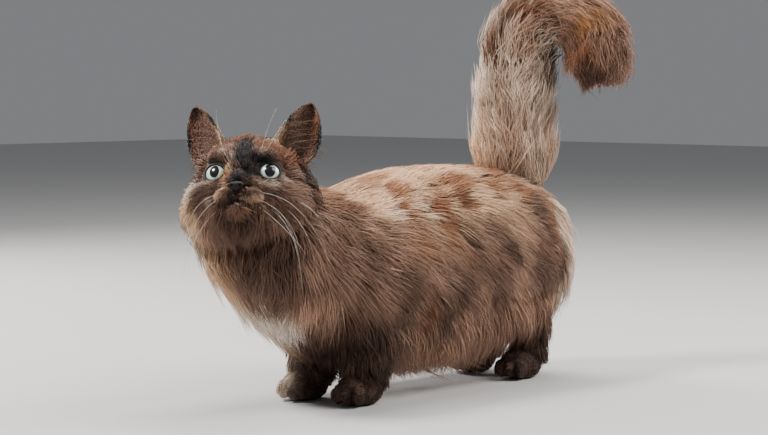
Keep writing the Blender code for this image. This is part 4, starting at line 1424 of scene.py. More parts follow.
    def tufts(self, name: str, line: Array, upward: Array, width: Array, tone: Array, strand: Array,
              spot: Array, slot: str, draw: np.random.Generator) -> bpy.types.Object:
        """The mesh of many tufts: a flat three-sided profile along each line, down to a point.

        Args:
            name: The piece's name.
            line: The middle lines, as tufts by knots by x, y and z.
            upward: The way out at each knot.
            width: Each tuft's width.
            tone: Each tuft's colour.
            strand: Each tuft's random number from 0 to 1.
            spot: Each root's place on the coat's unwrap, from its form's parameters.
            slot: Not used.
            draw: The source of random numbers.

        Returns:
            The piece.
        """
        count, knots = line.shape[:2]
        bands = knots - 1
        share = np.linspace(0, 1, knots)[:-1]
        ahead = unit(np.gradient(line, axis=1))
        side = unit(np.cross(ahead, upward))
        up = np.cross(side, ahead)
        roll = draw.normal(0, 0.5, count)[:, None, None]
        side, up = side * np.cos(roll) + up * np.sin(roll), up * np.cos(roll) - side * np.sin(roll)
        taper = (0.70 + 0.55 * share - 1.05 * share**3)[None, :, None]
        half = side[:, :-1] * (width / 2)[:, None, None] * taper
        deep = up[:, :-1] * (width * self.flat)[:, None, None] * taper
        body = line[:, :-1]
        rings = np.stack([body - half - deep / 2, body + deep, body + half - deep / 2], 2)
        points = np.concatenate([rings.reshape(count, -1, 3), line[:, -1:]], 1)
        each = 3 * bands + 1
        quads = [(3 * b + k, 3 * b + (k + 1) % 3, 3 * b + 3 + (k + 1) % 3, 3 * b + 3 + k)
                 for b in range(bands - 1) for k in range(3)]
        ends = [(3 * bands - 3 + k, 3 * bands - 3 + (k + 1) % 3, each - 1) for k in range(3)]
        piece = self.fast_mesh(name, points.reshape(-1, 3), quads, [*ends, (2, 1, 0)], count, each)
        mesh = piece.data
        along = np.append(np.repeat(share, 3), 1.0)
        beside = np.append(np.tile((0.0, 0.5, 1.0), bands), 0.5)
        store(mesh, "tone", np.repeat(np.column_stack([tone, np.ones(count)]), each, 0))
        store(mesh, "strand", np.repeat(strand, each))
        store(mesh, "along", np.tile(along, count))
        patch = spot[:, None] + PATCH * np.stack([beside, along], -1)[None]
        corners = np.zeros(len(mesh.loops), np.int32)
        mesh.loops.foreach_get("vertex_index", corners)
        unwrap = mesh.uv_layers.new(name=UNWRAP_NAME)
        unwrap.data.foreach_set("uv", patch.reshape(-1, 2)[corners].astype(np.float32).ravel())
        mesh.materials.append(self.finish)
        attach(piece, "root")
        triangles = count * (2 * len(quads) + len(ends) + 1)
        LOG.info("%s: %d tufts, %d triangles", name, count, triangles)
        return piece

    def fast_mesh(self, name: str, points: Array, quads: list, ends: list, count: int,
                  each: int) -> bpy.types.Object:
        """A mesh of many copies of the same faces, each copy on its own points.

        Args:
            name: The mesh's name.
            points: The points of all the copies, one copy after another.
            quads: The corners of one copy's four-sided faces.
            ends: The corners of one copy's three-sided faces.
            count: How many copies there are.
            each: How many points a copy has.

        Returns:
            The new object.
        """
        start = np.arange(count)[:, None] * each
        loops = np.concatenate([(start + np.array(faces).reshape(1, -1)).ravel() for faces in (quads, ends)])
        fours, threes = count * len(quads), count * len(ends)
        starts = np.concatenate([np.arange(fours) * 4, 4 * fours + np.arange(threes) * 3])
        mesh = bpy.data.meshes.new(name)
        mesh.vertices.add(len(points))
        mesh.vertices.foreach_set("co", points.astype(np.float32).ravel())
        mesh.loops.add(len(loops))
        mesh.loops.foreach_set("vertex_index", loops.astype(np.int32))
        mesh.polygons.add(fours + threes)
        mesh.polygons.foreach_set("loop_start", starts.astype(np.int32))
        mesh.update(calc_edges=True)
        mesh.shade_smooth()
        piece = bpy.data.objects.new(name, mesh)
        bpy.context.scene.collection.objects.link(piece)
        return piece


def lying(vector: Sequence[float]) -> Flow:
    """A lie of the coat that has the same direction everywhere."""
    return lambda points, out, where: np.broadcast_to(np.array(vector, float), points.shape)


def down_the_flank(points: Array, out: Array, where: Array) -> Array:
    """The torso's lie: back along the spine, turning down on the flanks and at the rump."""
    own = points + MIDDLE
    down = 0.08 + 0.5 * ease(0.185, 0.135, own[:, 2]) + 1.0 * ease(0.125, 0.060, own[:, 2]) \
        + 2.4 * ease(0.110, 0.155, own[:, 1])
    return np.column_stack([0 * down, np.ones(len(own)), -down])


def down_the_chest(points: Array, out: Array, where: Array) -> Array:
    """The neck's lie: down at the throat, and back and down at its sides."""
    back = ease(-0.35, 0.7, out[:, 1] + 0.6 * np.abs(out[:, 0]) + 0.5 * out[:, 2])
    return np.column_stack([0.35 * out[:, 0], -0.15 + 1.3 * back, -1.25 + 0.55 * back])


def along_the_tail(shapes: Shapes) -> Flow:
    """The tail's lie: from its root to its tip."""
    return lambda points, out, where: shapes.tail.axes(where[:, 0])[0]


def from_the_nose(head: Star) -> Flow:
    """The head's lie: away from the nose over the face, and downwards below the eyes."""
    def lie(points: Array, out: Array, where: Array) -> Array:
        """The direction at each point."""
        axis = head.turn @ head.basis[0]
        local = head.local(points)
        fall = ease(4, -26, local[:, 2]) * 0.55
        return unit(unit(points - head.place) - axis * 1.4) + np.column_stack(
            [0 * fall, 0 * fall, -fall])
    return lie


@dataclass
class CoatPlan:
    """Every stretch of the coat."""

    shapes: Shapes

    def torso(self) -> list[Fur]:
        """The back, the flanks, the fringe under the belly and the breeches."""
        torso = self.shapes.torso
        flank = {"form": torso, "count": 11600, "length": 0.030, "lift": 0.0052, "width": 0.95 * MM,
                 "flow": down_the_flank, "hang": (0, 0.001, -0.003), "bands": 2, "scale": self.rear}
        fringe = {"form": torso, "count": 5200, "length": 0.034, "lift": 0.0115, "width": 0.80 * MM,
                  "flow": lying((0, 0.45, -1.0)), "hang": (0, 0.002, -0.010), "bands": 2, "stray": 0.2,
                  "clump": 0.011, "pull": 0.65}
        return [
            Fur("coat_back", torso, 11800, ((1.2, 9.2), (-0.92, 0.92)), 0.026, 0.0040, 0.90 * MM,
                down_the_flank, bands=2, slot="coat_cream"),
            Fur("coat_flank_left", span=((1.2, 9.3), (-2.05, -0.88)), **flank),
            Fur("coat_flank_right", span=((1.2, 9.3), (0.88, 2.05)), **flank),
            Fur("coat_fringe_left", span=((0.3, 7.8), (-math.pi, -1.95)), **fringe),
            Fur("coat_fringe_right", span=((0.3, 7.8), (1.95, math.pi)), **fringe),
            Fur("coat_breeches", torso, 5600, ((8.0, 11.9), ALL_ROUND), 0.034, 0.0085,
                0.90 * MM, lying((0, 0.30, -1.0)), (0, 0.003, -0.009), bands=2, clump=0.011, pull=0.6),
            Fur("coat_rump", torso, 1900, ((7.9, 9.6), (-1.4, 1.4)), 0.028, 0.0075, 0.90 * MM,
                lying((0, 0.5, -0.9)), (0, 0, -0.004), clump=0.011, pull=0.5, slot="coat_cream"),
        ]

    def rear(self, points: Array) -> Array:
        """The coat is a little shorter towards the rump."""
        return 1.08 - 0.30 * ease(-0.06, 0.10, points[:, 1] + MIDDLE[1])

    def neck(self) -> list[Fur]:
        """The ruff round the throat and the chest, and the nape."""
        neck = self.shapes.neck
        ruff = {"form": neck, "count": 6500, "length": 0.031, "lift": 0.0085, "width": 0.95 * MM,
                "flow": down_the_chest, "hang": (0, -0.001, -0.005), "bands": 2,
                "clump": 0.010, "pull": 0.6}
        return [
            Fur("coat_ruff_left", span=((0.3, 4.95), (0.75, math.pi)), **ruff),
            Fur("coat_ruff_right", span=((0.3, 4.95), (-math.pi, -0.75)), **ruff),
            Fur("coat_nape", neck, 4200, ((0.3, 4.9), (-0.8, 0.8)), 0.026, 0.0060, 0.9 * MM,
                lying((0, 1.0, -0.35)), bands=2),
        ]

    def tail(self) -> list[Fur]:
        """The tail's brush, below its bend and beyond it."""
        tail = self.shapes.tail
        flow = along_the_tail(self.shapes)
        return [
            Fur("coat_tail_root", tail, 2600, ((-0.45, 0.35), ALL_ROUND), 0.036, 0.0120,
                0.80 * MM, flow, clump=0.008, pull=0.5, stray=0.2, sunk=True, slot="coat_cream"),
            Fur("coat_tail_base", tail, 7600, ((0.1, 4.6), ALL_ROUND), 0.032, 0.0108, 0.75 * MM,
                flow, clump=0.008, pull=0.5, stray=0.18, slot="coat_cream"),
            Fur("coat_tail_plume", tail, 4600, ((4.4, 7.9), ALL_ROUND), 0.029, 0.0090, 0.80 * MM,
                flow, clump=0.008, pull=0.5, stray=0.18),
            Fur("coat_tail_tip", tail, 3800, ((7.3, 9.99), ALL_ROUND), 0.015, 0.0118, 0.75 * MM,
                flow, (-0.002, -0.001, -0.003), bands=2, clump=0.007, pull=0.4, stray=0.25),
        ]

    def legs(self) -> list[Fur]:
        """The shaggy legs and the short fur of the paws."""
        made = []
        for (kind, side), leg in self.shapes.legs.items():
            name = f"{kind}leg_{side.name.lower()}"
            made.append(Fur(f"coat_{name}", leg, 2200, ((0.3, 3.6), ALL_ROUND), 0.017, 0.0052,
                            0.85 * MM, lying((0, 0.12, -1.0)), bands=2, clump=0.006,
                            pull=0.5, slot="coat_seal"))
            made.append(Fur(f"coat_{name.replace('leg', 'paw')}", self.shapes.paws[kind, side], 1600,
                            ((0.12, 2.1), ALL_ROUND), 0.0042, 0.0006, 0.60 * MM,
                            lying((0, -0.9, -0.5)), bands=2, clump=0.003, pull=0.2, wave=0.0002,
                            slot="coat_seal"))
        return made

    def face_length(self, points: Array) -> Array:
        """How long the head's fur is: shortest by the nose, longest on the cheeks and behind."""
        local = self.shapes.head.local(points)
        from_nose = np.linalg.norm(local - np.array(self.shapes.head_sizes.nose), axis=1)
        cheek = ease(24, 40, np.abs(local[:, 0])) * ease(16, -8, local[:, 2])
        eyes = np.array(self.shapes.head_sizes.eye)
        near_eye = np.min([np.linalg.norm(local - eyes * (s.value, 1, 1), axis=1) for s in Side], 0)
        short = ease(11.5, 20, near_eye) * 0.6 + 0.4
        jaw = ease(-20, -32, local[:, 2]) * ease(-44, -28, local[:, 1])
        return (0.46 + 0.30 * ease(8, 40, from_nose) + 0.7 * cheek + 0.9 * jaw
                + 0.5 * ease(-5, 30, local[:, 1])) * short

    def bare(self, points: Array) -> Array:
        """Where the head's fur grows: not in the eyes' openings and not on the nose."""
        sizes = self.shapes.head_sizes
        local = self.shapes.head.local(points)
        nose = np.sum(((local - np.array(sizes.nose)) / (np.array(sizes.nose_size) * 0.88)) ** 2, -1) < 1
        return ~(sizes.in_opening(local, 0.5) | nose)

    def head(self) -> list[Fur]:
        """The short fur of the face and the longer fur of the cheeks and the back of the head."""
        head = self.shapes.head
        common = {"form": head, "flow": from_the_nose(head), "bands": 2, "wave": 0.0003, "mix": 0.0014,
                  "slot": "coat_seal"}
        cheeks = {"keep": self.on_cheek, "clump": 0.007, "pull": 0.5, "width": 0.8 * MM,
                  "hang": (0, 0, -0.003)}
        return [
            Fur("coat_face", count=15000, span=((0.05, 1.25), ALL_ROUND), length=0.0115,
                lift=0.0023, width=0.50 * MM, clump=0.0030, pull=0.2, scale=self.face_length,
                keep=self.bare, **common),
            Fur("coat_head", count=7800, span=((1.15, 2.9), ALL_ROUND), length=0.0155,
                lift=0.0045, width=0.80 * MM, clump=0.005, pull=0.35, scale=self.face_length,
                keep=self.bare, **common),
            Fur("coat_cheeks", count=4800, span=((0.9, 2.6), ALL_ROUND), length=0.024,
                lift=0.0068, **cheeks, **common),
            Fur("coat_chin", head, 3200, ((0.25, 2.3), ALL_ROUND), 0.020, 0.0062, 0.70 * MM,
                from_the_nose(head), (0, 0, -0.008), bands=2, clump=0.006, pull=0.5,
                keep=self.on_chin, slot="coat_seal"),
            Fur("coat_scruff", head, 3600, ((1.0, 2.9), ALL_ROUND), 0.019, 0.0130, 0.75 * MM,
                self.behind_the_ears, bands=2, clump=0.006, pull=0.4, keep=self.on_scruff,
                mix=0.0014, slot="coat_seal"),
        ]

    def on_chin(self, points: Array) -> Array:
        """Where the hair that hangs from the chin and the jaw over the throat grows."""
        local = self.shapes.head.local(points)
        return (local[:, 2] < -27 - 0.10 * local[:, 1]) & (local[:, 1] > -40) & (np.abs(local[:, 0]) < 42)

    def on_scruff(self, points: Array) -> Array:
        """Where the fur behind the ears and the cheeks grows, which runs over the nape."""
        local = self.shapes.head.local(points)
        return (local[:, 1] > -2) & (local[:, 1] < 34) & (local[:, 2] > -16) & (local[:, 2] < 34) \
            & (np.abs(local[:, 0]) > 28)

    def behind_the_ears(self, points: Array, out: Array, where: Array) -> Array:
        """The lie of the fur below and behind the ears: outwards, back and down."""
        head = self.shapes.head
        side = np.sign(head.local(points)[:, :1])
        return (side * (0.5, 0, 0) + (0, 0.75, -0.55)) @ head.turn.T

    def on_cheek(self, points: Array) -> Array:
        """Where the long fur of the cheeks and behind the ears' roots grows."""
        local = self.shapes.head.local(points)
        side = np.abs(local[:, 0])
        return (side > 27) & (local[:, 1] > -22) & (local[:, 1] < 34) & (local[:, 2] > -36) \
            & (local[:, 2] < 22 + 10 * (local[:, 1] > 4)) & self.bare(points)


@dataclass
class EarFur:
    """The ears' fur: short on both faces, stray hairs at the outer edge and long ones over the cup."""

    shapes: Shapes
    coat: Coat
    short_count: int = 3200
    short_length: Pair = (0.0030, 0.0050)
    back_share: float = 0.62
    stray_count: int = 26
    stray_length: Pair = (0.006, 0.014)
    inner_counts: tuple[int, int] = (30, 16)
    inner_length: float = 0.030

    def build(self) -> None:
        """Grows the fur of both ears."""
        for side, leaf in self.shapes.ears.items():
            name = side.name.lower()
            self.short(f"coat_ear_{name}", leaf, side, 41 + side.value)
            self.inner(f"hairs_ear_{name}", leaf, side, 51 + side.value)
            self.stray(f"strays_ear_{name}", leaf, 61 + side.value)

    def spots(self, where: Array) -> Array:
        """The roots' places on the unwrap: up the ear and across it."""
        return UNWRAP_MARGIN + UNWRAP_REACH * np.column_stack(
            [np.clip(where[:, 0], 0, 1), (where[:, 1] + 1) / 2])

    def axes(self, leaf: Leaf) -> tuple[Array, Array, Array]:
        """The ear's directions up, across and out of its cup, in the frame."""
        return tuple(leaf.head.turn @ v for v in (leaf.up, leaf.across, leaf.facing))

    def short(self, name: str, leaf: Leaf, side: Side, seed: int) -> None:
        """Short tufts over the back of the ear and thinly over its cup, running to the tip."""
        draw = np.random.default_rng(seed)
        count = self.short_count
        where = np.column_stack([draw.random(count) ** 1.15, draw.uniform(-1.0, 1.0, count)])
        outside = draw.random(count) < self.back_share
        sense = np.where(outside, -1.0, 1.0)
        where[:, 1] = np.where(outside, where[:, 1], np.sign(where[:, 1]) * np.abs(where[:, 1]) ** 0.6)
        length = draw.uniform(*self.short_length, count) * (1 - 0.6 * ease(0.70, 1.0, where[:, 0]))
        t = np.linspace(0, 1, 3)[None, :, None]
        slope = np.maximum(np.linalg.norm(leaf.slopes(where)[0], axis=-1), 1e-6)
        path = where[:, None] + np.stack([length / slope, 0.05 * where[:, 1]], -1)[:, None] * t
        path[..., 1] = np.clip(path[..., 1], -1.02, 1.02)
        flat = path.reshape(-1, 2)
        out = leaf.normal(flat).reshape(count, -1, 3) * sense[:, None, None]
        rise = 0.4 * MM + 1.3 * MM * t * ease(1.05, 0.6, where[:, :1])[..., None]
        line = leaf.point(flat).reshape(count, -1, 3) + out * rise
        tone = self.coat.markings.ear(line[:, 0], side)
        self.coat.tufts(name, line, out, draw.uniform(0.6, 0.9, count) * MM, tone,
                        draw.random(count), self.spots(where), "coat_seal", draw)

    def stray(self, name: str, leaf: Leaf, seed: int) -> None:
        """Fine single hairs that stand out sideways from the low part of the outer edge."""
        draw = np.random.default_rng(seed)
        count = self.stray_count
        where = np.column_stack([draw.uniform(-0.05, 0.50, count), draw.uniform(0.75, 1.0, count)])
        root, out = leaf.point(where), leaf.normal(where)
        up, across, facing = self.axes(leaf)
        t = np.linspace(0, 1, 5)[None, :, None]
        start = unit(across + up * draw.normal(0.05, 0.2, (count, 1))
                     + facing * draw.normal(0, 0.3, (count, 1)))
        size = draw.uniform(*self.stray_length, (count, 1, 1))
        line = root[:, None] + (start[:, None] * t - up * 0.18 * t**2) * size
        tone = np.repeat([BROWN * 1.4], count, 0)
        self.coat.tufts(name, line, np.repeat(out[:, None], 5, 1), draw.uniform(0.20, 0.30, count) * MM,
                        tone, draw.random(count), self.spots(where), "coat_seal", draw)

    def inner(self, name: str, leaf: Leaf, side: Side, seed: int) -> None:
        """Long curved hairs from the inner edge, which sweep over the cup and outwards."""
        draw = np.random.default_rng(seed)
        count = self.inner_counts[side is Side.RIGHT]
        where = np.column_stack([draw.uniform(0.02, 0.55, count), -0.98 + 0.5 * draw.random(count)])
        root, out = leaf.point(where), leaf.normal(where)
        up, across, facing = self.axes(leaf)
        size = self.inner_length * draw.uniform(0.55, 1.2, (count, 1)) * (1.1 - 0.75 * where[:, :1])
        lean = draw.normal(0, 0.32, (count, 1))
        t = np.linspace(0, 1, 6)[None, :, None]
        start = unit(facing * 0.45 + up * (1.0 + lean) + across * (0.45 - lean))
        bend = across * (0.75 + lean) - facing * 0.25 - up * (0.45 + lean)
        size = size[:, None]
        line = root[:, None] + start[:, None] * size * t + bend[:, None] * size * 0.62 * t**2
        tone = blend(FAWN * 0.7, PALE * 0.42, draw.random(count))
        self.coat.tufts(name, line, np.repeat(out[:, None], 6, 1), draw.uniform(0.20, 0.30, count) * MM,
                        tone, draw.random(count), self.spots(where), "coat_cream", draw)


# Eyes, lids, nose, mouth and whiskers


@dataclass
class Eyes:
    """The eyes and the dark rims of their lids."""

    shapes: Shapes
    cornea: float = 0.55
    cornea_spread: float = 0.62
    under_lids: float = 0.15
    rim: float = 0.80
    pupils: tuple = ((0.42, 0.55), (0.37, 0.50))
    gaze: Triple = (0.5, 0.0, 0.2)

    def axes(self, side: Side) -> tuple[Array, Array, Array, Array]:
        """The eye's middle and the directions out, across and up of its gaze, in the head."""
        sizes = self.shapes.head_sizes
        middle = np.array(sizes.eye) * (side.value, 1, 1)
        out = unit(np.array(sizes.opening_shift) * (side.value, 1, 1) + self.gaze)
        across = unit(np.cross(out, (0.0, 0.0, 1.0)))
        return middle, out, across, np.cross(across, out)

    def ball(self, side: Side, pupil: Pair) -> bpy.types.Object:
        """An eyeball: a sphere whose radius swells a little over the pupil, as the cornea does."""
        sizes = self.shapes.head_sizes
        middle, out, across, up = self.axes(side)
        polar = np.linspace(0.004, math.pi - 0.02, 90)[:, None]
        around = np.linspace(0, 2 * math.pi, 96, endpoint=False)[None, :]
        bulge = self.cornea * np.exp(-((polar / self.cornea_spread) ** 2))
        radius = sizes.eye_radius - self.under_lids + bulge
        ring = (np.cos(around)[..., None] * across + np.sin(around)[..., None] * up)
        local = middle + radius[..., None] * (np.cos(polar)[..., None] * out
                                              + np.sin(polar)[..., None] * ring)
        points, faces = loft_arrays(self.shapes.head.world(local))
        name = side.name.lower()
        eye = faced_out(mesh_piece(f"eyeball_{name}", points, faces))
        gaze = np.stack([polar * np.cos(around), polar * np.sin(around), 0 * polar * around], -1)
        gaze = np.concatenate([gaze.reshape(-1, 3), [[0, 0, 0], [math.pi, 0, 0]]])
        store(eye.data, "gaze", gaze)
        eye.data.materials.append(EyeFinish(f"eye_{name}", pupil).build())
        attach(eye, "root")
        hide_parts(f"eye_{name}")
        return eye

    def edge(self, side: Side, radius: float, count: int = 96) -> Array:
        """The edge of the opening on a ball round the eye, found by halving the angle from its axis."""
        sizes = self.shapes.head_sizes
        middle, out, across, up = self.axes(side)
        around = np.linspace(0, 2 * math.pi, count, endpoint=False)
        ring = np.cos(around)[:, None] * across + np.sin(around)[:, None] * up
        low, high = np.full(count, 0.05), np.full(count, 1.5)
        for _ in range(24):
            half = (low + high) / 2
            place = middle + radius * (np.cos(half)[:, None] * out + np.sin(half)[:, None] * ring)
            inside = sizes.in_opening(place, 0.0)
            low, high = np.where(inside, half, low), np.where(inside, high, half)
        return place

    def lid(self, side: Side) -> bpy.types.Object:
        """The rim of the lids: a soft dark roll round the opening, drawn out at the inner corner."""
        sizes = self.shapes.head_sizes
        path = self.edge(side, sizes.eye_radius + 0.55)
        ahead = unit(np.roll(path, -1, 0) - np.roll(path, 1, 0))
        middle = self.axes(side)[0]
        out = unit(path - middle)
        across = np.cross(ahead, out)
        angle = np.linspace(0, 2 * math.pi, 10, endpoint=False)
        spoke = unit(path - path.mean(0))
        inner = ease(0.2, 0.95, -spoke[:, 0] * side.value)
        thick = self.rim * (1 + 0.55 * inner + 0.5 * ease(0.1, 0.9, spoke[:, 2]))[:, None, None]
        rings = path[:, None] + thick * (np.cos(angle)[None, :, None] * across[:, None] * 1.15
                                         + np.sin(angle)[None, :, None] * out[:, None] * 0.85)
        count, around = rings.shape[:2]
        here, beside = np.meshgrid(np.arange(count), np.arange(around), indexing="ij")
        after, next_to = (here + 1) % count, (beside + 1) % around
        faces = np.stack([here * around + beside, after * around + beside, after * around + next_to,
                          here * around + next_to], -1).reshape(-1, 4)
        lid = mesh_piece(f"lid_{side.name.lower()}", self.shapes.head.world(rings.reshape(-1, 3)),
                         faces.tolist())
        lid = faced_out(lid)
        return lid

    def build(self) -> None:
        """Makes both eyes and both rims."""
        dark = MoistFinish("lid_rim", (0.006, 0.005, 0.005), 0.50, 1500.0).build()
        for side, pupil in zip(Side, self.pupils):
            self.ball(side, pupil)
            lid = self.lid(side)
            lid.data.materials.append(dark)
            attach(lid, "root")
            LOG.info("eye_%s and its lids", side.name.lower())


@dataclass
class Muzzle:
    """The nose, the lips and the whiskers."""

    shapes: Shapes
    skin: Skin
    nose_radii: Triple = (6.6, 4.4, 3.9)
    nose_shift: Triple = (0.0, 1.3, 0.3)
    lip_radius: float = 0.75 * MM
    whiskers_each: int = 9
    whisker_length: Pair = (0.060, 0.084)
    whisker_root: float = 0.080 * MM
    whisker_tip: float = 0.035 * MM
    brow_root: float = 0.06 * MM
    brow_length: float = 0.038

    def nose(self) -> bpy.types.Object:
        """The nose: a ball squeezed into a rounded triangle, with a groove and two nostrils.

        Its width shrinks towards the lip, a valley runs down its middle and each nostril is a dent
        with a raised wing on its outer side.
        """
        sizes = self.shapes.head_sizes
        polar = np.linspace(0.03, math.pi - 0.03, 90)[:, None]
        around = np.linspace(0, 2 * math.pi, 120, endpoint=False)[None, :]
        x, z, y = np.sin(polar) * np.cos(around), np.sin(polar) * np.sin(around), -np.cos(polar) + 0 * around
        narrow = 1 - 0.55 * ease(0.45, -1.0, z)
        local = np.stack([x * narrow, y * (1 - 0.12 * z), z], -1) * self.nose_radii
        front = ease(0.1, -0.5, y)
        groove = np.exp(-((local[..., 0] / 0.75) ** 2)) * ease(1.0, -2.0, local[..., 2]) * 0.9
        sideways = np.abs(local[..., 0])
        nostril = np.exp(-(((sideways - 3.2 - 0.55 * local[..., 2]) / 1.15) ** 2
                           + ((local[..., 2] + 0.5) / 0.75) ** 2)) * 2.6
        wing = np.exp(-(((sideways - 4.9) / 1.1) ** 2 + ((local[..., 2] - 0.2) / 1.6) ** 2)) * 0.9
        local[..., 1] += front * (groove + nostril - wing)
        points, faces = loft_arrays(self.shapes.head.world(local + np.array(sizes.nose) + self.nose_shift))
        nose = faced_out(mesh_piece("nose_leather", points, faces))
        nose.data.materials.append(MoistFinish("nose_skin", (0.004, 0.0035, 0.0035), 0.55, 900.0).build())
        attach(nose, "root")
        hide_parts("nose")
        return nose

    def lips(self) -> bpy.types.Object:
        """Thin dark lips in the groove of the mouth."""
        parts = []
        for path in self.skin.mouth_paths():
            taper = np.sin(np.linspace(0.25, 2.9, len(path))) ** 0.5
            parts.append(loft_arrays(pipe(path, self.lip_radius * taper, 8)))
        lips = faced_out(joined("lips", parts))
        lips.data.materials.append(MoistFinish("lip_skin", (0.016, 0.010, 0.010), 0.5, 1200.0).build())
        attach(lips, "root")
        return lips

    def hair(self, root: Array, start: Array, length: float, sag: Sequence[float],
             thick: float) -> tuple[Array, Faces]:
        """A single hair, which leaves its root straight and sags towards its tip as t to the power 2.1.

        Args:
            root: Where it starts.
            start: The direction in which it leaves.
            length: How long it is.
            sag: How far its tip sags, as a share of its length.
            thick: Its radius at the root, on top of its tip's.

        Returns:
            Its points and its faces.
        """
        t = np.linspace(0, 1, 18)[:, None]
        path = root + start * length * t * (1 - 0.15 * t) + np.array(sag) * length * t**2.1
        return loft_arrays(pipe(path, thick * (1 - t[:, 0]) ** 0.8 + self.whisker_tip, 5))

    def whiskers(self) -> bpy.types.Object:
        """Nine whiskers from each pad, two from the left brow and one from the right one."""
        draw = np.random.default_rng(77)
        head, parts = self.shapes.head, []
        for side in Side:
            for number in range(self.whiskers_each):
                row, column = divmod(number, 3)
                turn = math.radians(24 + 9 * column + draw.uniform(-2, 2)) * side.value
                rise = math.radians(-21 - 6.5 * row + draw.uniform(-1.5, 1.5))
                way = np.array((math.sin(turn) * math.cos(rise), -math.cos(turn) * math.cos(rise),
                                math.sin(rise)))
                root = head.world(way * (head.reach(way) - 0.5))
                back = 0.55 if side is Side.RIGHT else 0.10
                start = unit(np.array((side.value, back + 0.15 * column, -0.05 - 0.30 * row
                                       + draw.uniform(-0.1, 0.1))))
                length = draw.uniform(*self.whisker_length) * (1 - 0.13 * row)
                sag = (-side.value * draw.uniform(0.0, 0.35), draw.uniform(-0.02, 0.10),
                       -draw.uniform(0.15, 0.85))
                parts.append(self.hair(root, head.turn @ start, length, sag, self.whisker_root))
            for number in range(2 if side is Side.LEFT else 1):
                way = unit(np.array((side.value * (15 + 4 * number), -31.0, 23.0 - number)))
                root = head.world(way * (head.reach(way) - 0.5))
                start = unit(np.array((side.value * (0.3 + 0.3 * number), -0.45, 0.9)))
                length = self.brow_length - 0.006 * number
                parts.append(self.hair(root, head.turn @ start, length, (0, 0.15, 0.05), self.brow_root))
        whiskers = faced_out(joined("whiskers", parts))
        whiskers.data.materials.append(PlainFinish("whisker", (0.86, 0.79, 0.72), 0.40).build())
        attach(whiskers, "root")
        return whiskers

    def build(self) -> None:
        """Makes the nose, the lips and the whiskers."""
        for piece in (self.nose(), self.lips(), self.whiskers()):
            LOG.info(piece.name)


# The studio


@dataclass(frozen=True)
class Lamp:
    """A round soft light: its direction from the cat in degrees, its distance, width and watts."""

    name: str
    azimuth: float
    rise: float
    away: float
    size: float
    watts: float
    colour: Triple = (1.0, 0.97, 0.94)


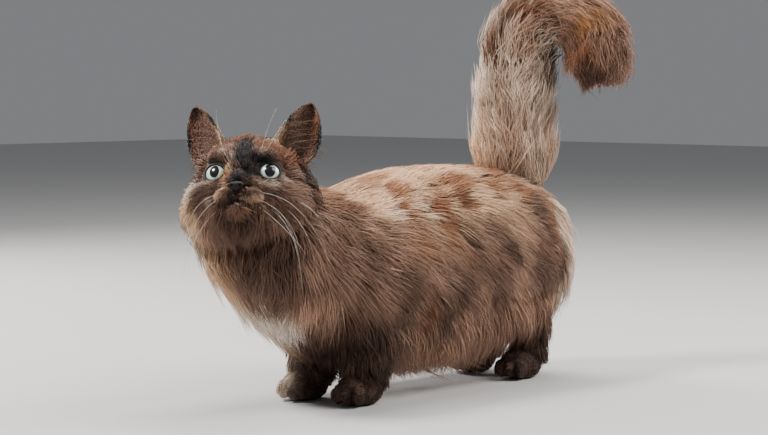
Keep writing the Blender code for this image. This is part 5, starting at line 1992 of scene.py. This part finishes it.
@dataclass(frozen=True)
class Studio:
    """The floor, the lights and the camera, which looks from the front left at the photo's angle."""

    azimuth: float = 42.0
    distance: float = 1.80
    height: float = 0.272
    focal_pixels: float = 2042.0
    image_width: float = 768.0
    image_height: float = 435.0
    aim_column: float = 415.0
    aim_row: float = 81.0
    sensor: float = 36.0
    floor_reach: float = 6.0
    floor_colour: Triple = (0.56, 0.555, 0.55)
    lamps: tuple[Lamp, ...] = (
        Lamp("key", -28, 50, 1.9, 0.45, 46, (1.0, 0.97, 0.93)),
        Lamp("fill", 116, 48, 2.2, 1.5, 22, (1.0, 0.96, 0.92)),
        Lamp("top", 200, 70, 1.6, 1.0, 24),
        Lamp("edge", -92, 24, 1.7, 0.9, 26),
        Lamp("rim", 140, 34, 1.7, 0.8, 26),
    )
    lamps_aim: float = 0.15
    surround: tuple[float, float, float, float] = (0.62, 0.64, 0.67, 1.0)
    surround_strength: float = 0.34

    def camera(self) -> None:
        """The camera: its turn and its nod put the cat where the photo has it."""
        data = bpy.data.cameras.new("camera")
        data.sensor_width, data.lens = self.sensor, self.sensor * self.focal_pixels / self.image_width
        data.clip_start, data.clip_end = 0.05, 50
        camera = bpy.data.objects.new("camera", data)
        bpy.context.scene.collection.objects.link(camera)
        a = math.radians(self.azimuth)
        place = np.array((math.sin(a) * self.distance, -math.cos(a) * self.distance, self.height))
        camera.location = Vector(place - MIDDLE)
        yaw = math.atan((self.aim_column - self.image_width / 2) / self.focal_pixels)
        pitch = math.atan((self.image_height / 2 - self.aim_row) / self.focal_pixels)
        camera.rotation_euler = (math.pi / 2 - pitch, 0.0, a + yaw)
        bpy.context.scene.camera = camera

    def floor(self) -> None:
        """A wide, flat, pale floor."""
        edges = (-self.floor_reach, self.floor_reach)
        corners = np.array([(x, y, 0.0) for y in edges for x in edges])
        floor = mesh_piece("floor", corners, [(0, 1, 3, 2)])
        floor.data.materials.append(PlainFinish("floor", self.floor_colour, 0.7).build())

    def light(self, lamp: Lamp) -> None:
        """Places a lamp by its direction and distance, facing the cat."""
        data = bpy.data.lights.new(lamp.name, "AREA")
        data.shape = "DISK"
        data.energy, data.size, data.color = lamp.watts, lamp.size, lamp.colour
        made = bpy.data.objects.new(lamp.name, data)
        bpy.context.scene.collection.objects.link(made)
        a, r = math.radians(lamp.azimuth), math.radians(lamp.rise)
        back = Vector((math.sin(a) * math.cos(r), -math.cos(a) * math.cos(r), math.sin(r)))
        made.location = back * lamp.away + Vector((0, 0, self.lamps_aim))
        made.rotation_euler = back.to_track_quat("Z", "Y").to_euler()

    def build(self) -> None:
        """Sets the scene: camera, floor, lights and a pale even surround."""
        self.camera()
        self.floor()
        for lamp in self.lamps:
            self.light(lamp)
        world = bpy.data.worlds.new("surround")
        world.use_nodes = True
        shader = world.node_tree.nodes["Background"]
        shader.inputs["Color"].default_value = self.surround
        shader.inputs["Strength"].default_value = self.surround_strength
        bpy.context.scene.world = world


def main() -> None:
    """Builds the cat's skin, coat and face, then the studio round it."""
    logging.basicConfig(level=logging.INFO, format="%(name)s: %(message)s")
    shapes = Shapes()
    markings = Markings(shapes)
    skin = Skin(shapes)
    hide = skin.build(markings)
    LOG.info("skin: %d points", len(hide.data.vertices))
    coat, plan = Coat(shapes, markings), CoatPlan(shapes)
    stretches = [*plan.head(), *plan.neck(), *plan.torso(), *plan.tail(), *plan.legs()]
    for seed, fur in enumerate(stretches, start=100):
        coat.grow(fur, seed)
    EarFur(shapes, coat).build()
    Eyes(shapes).build()
    Muzzle(shapes, skin).build()
    Studio().build()


if __name__ == "__main__":
    main()
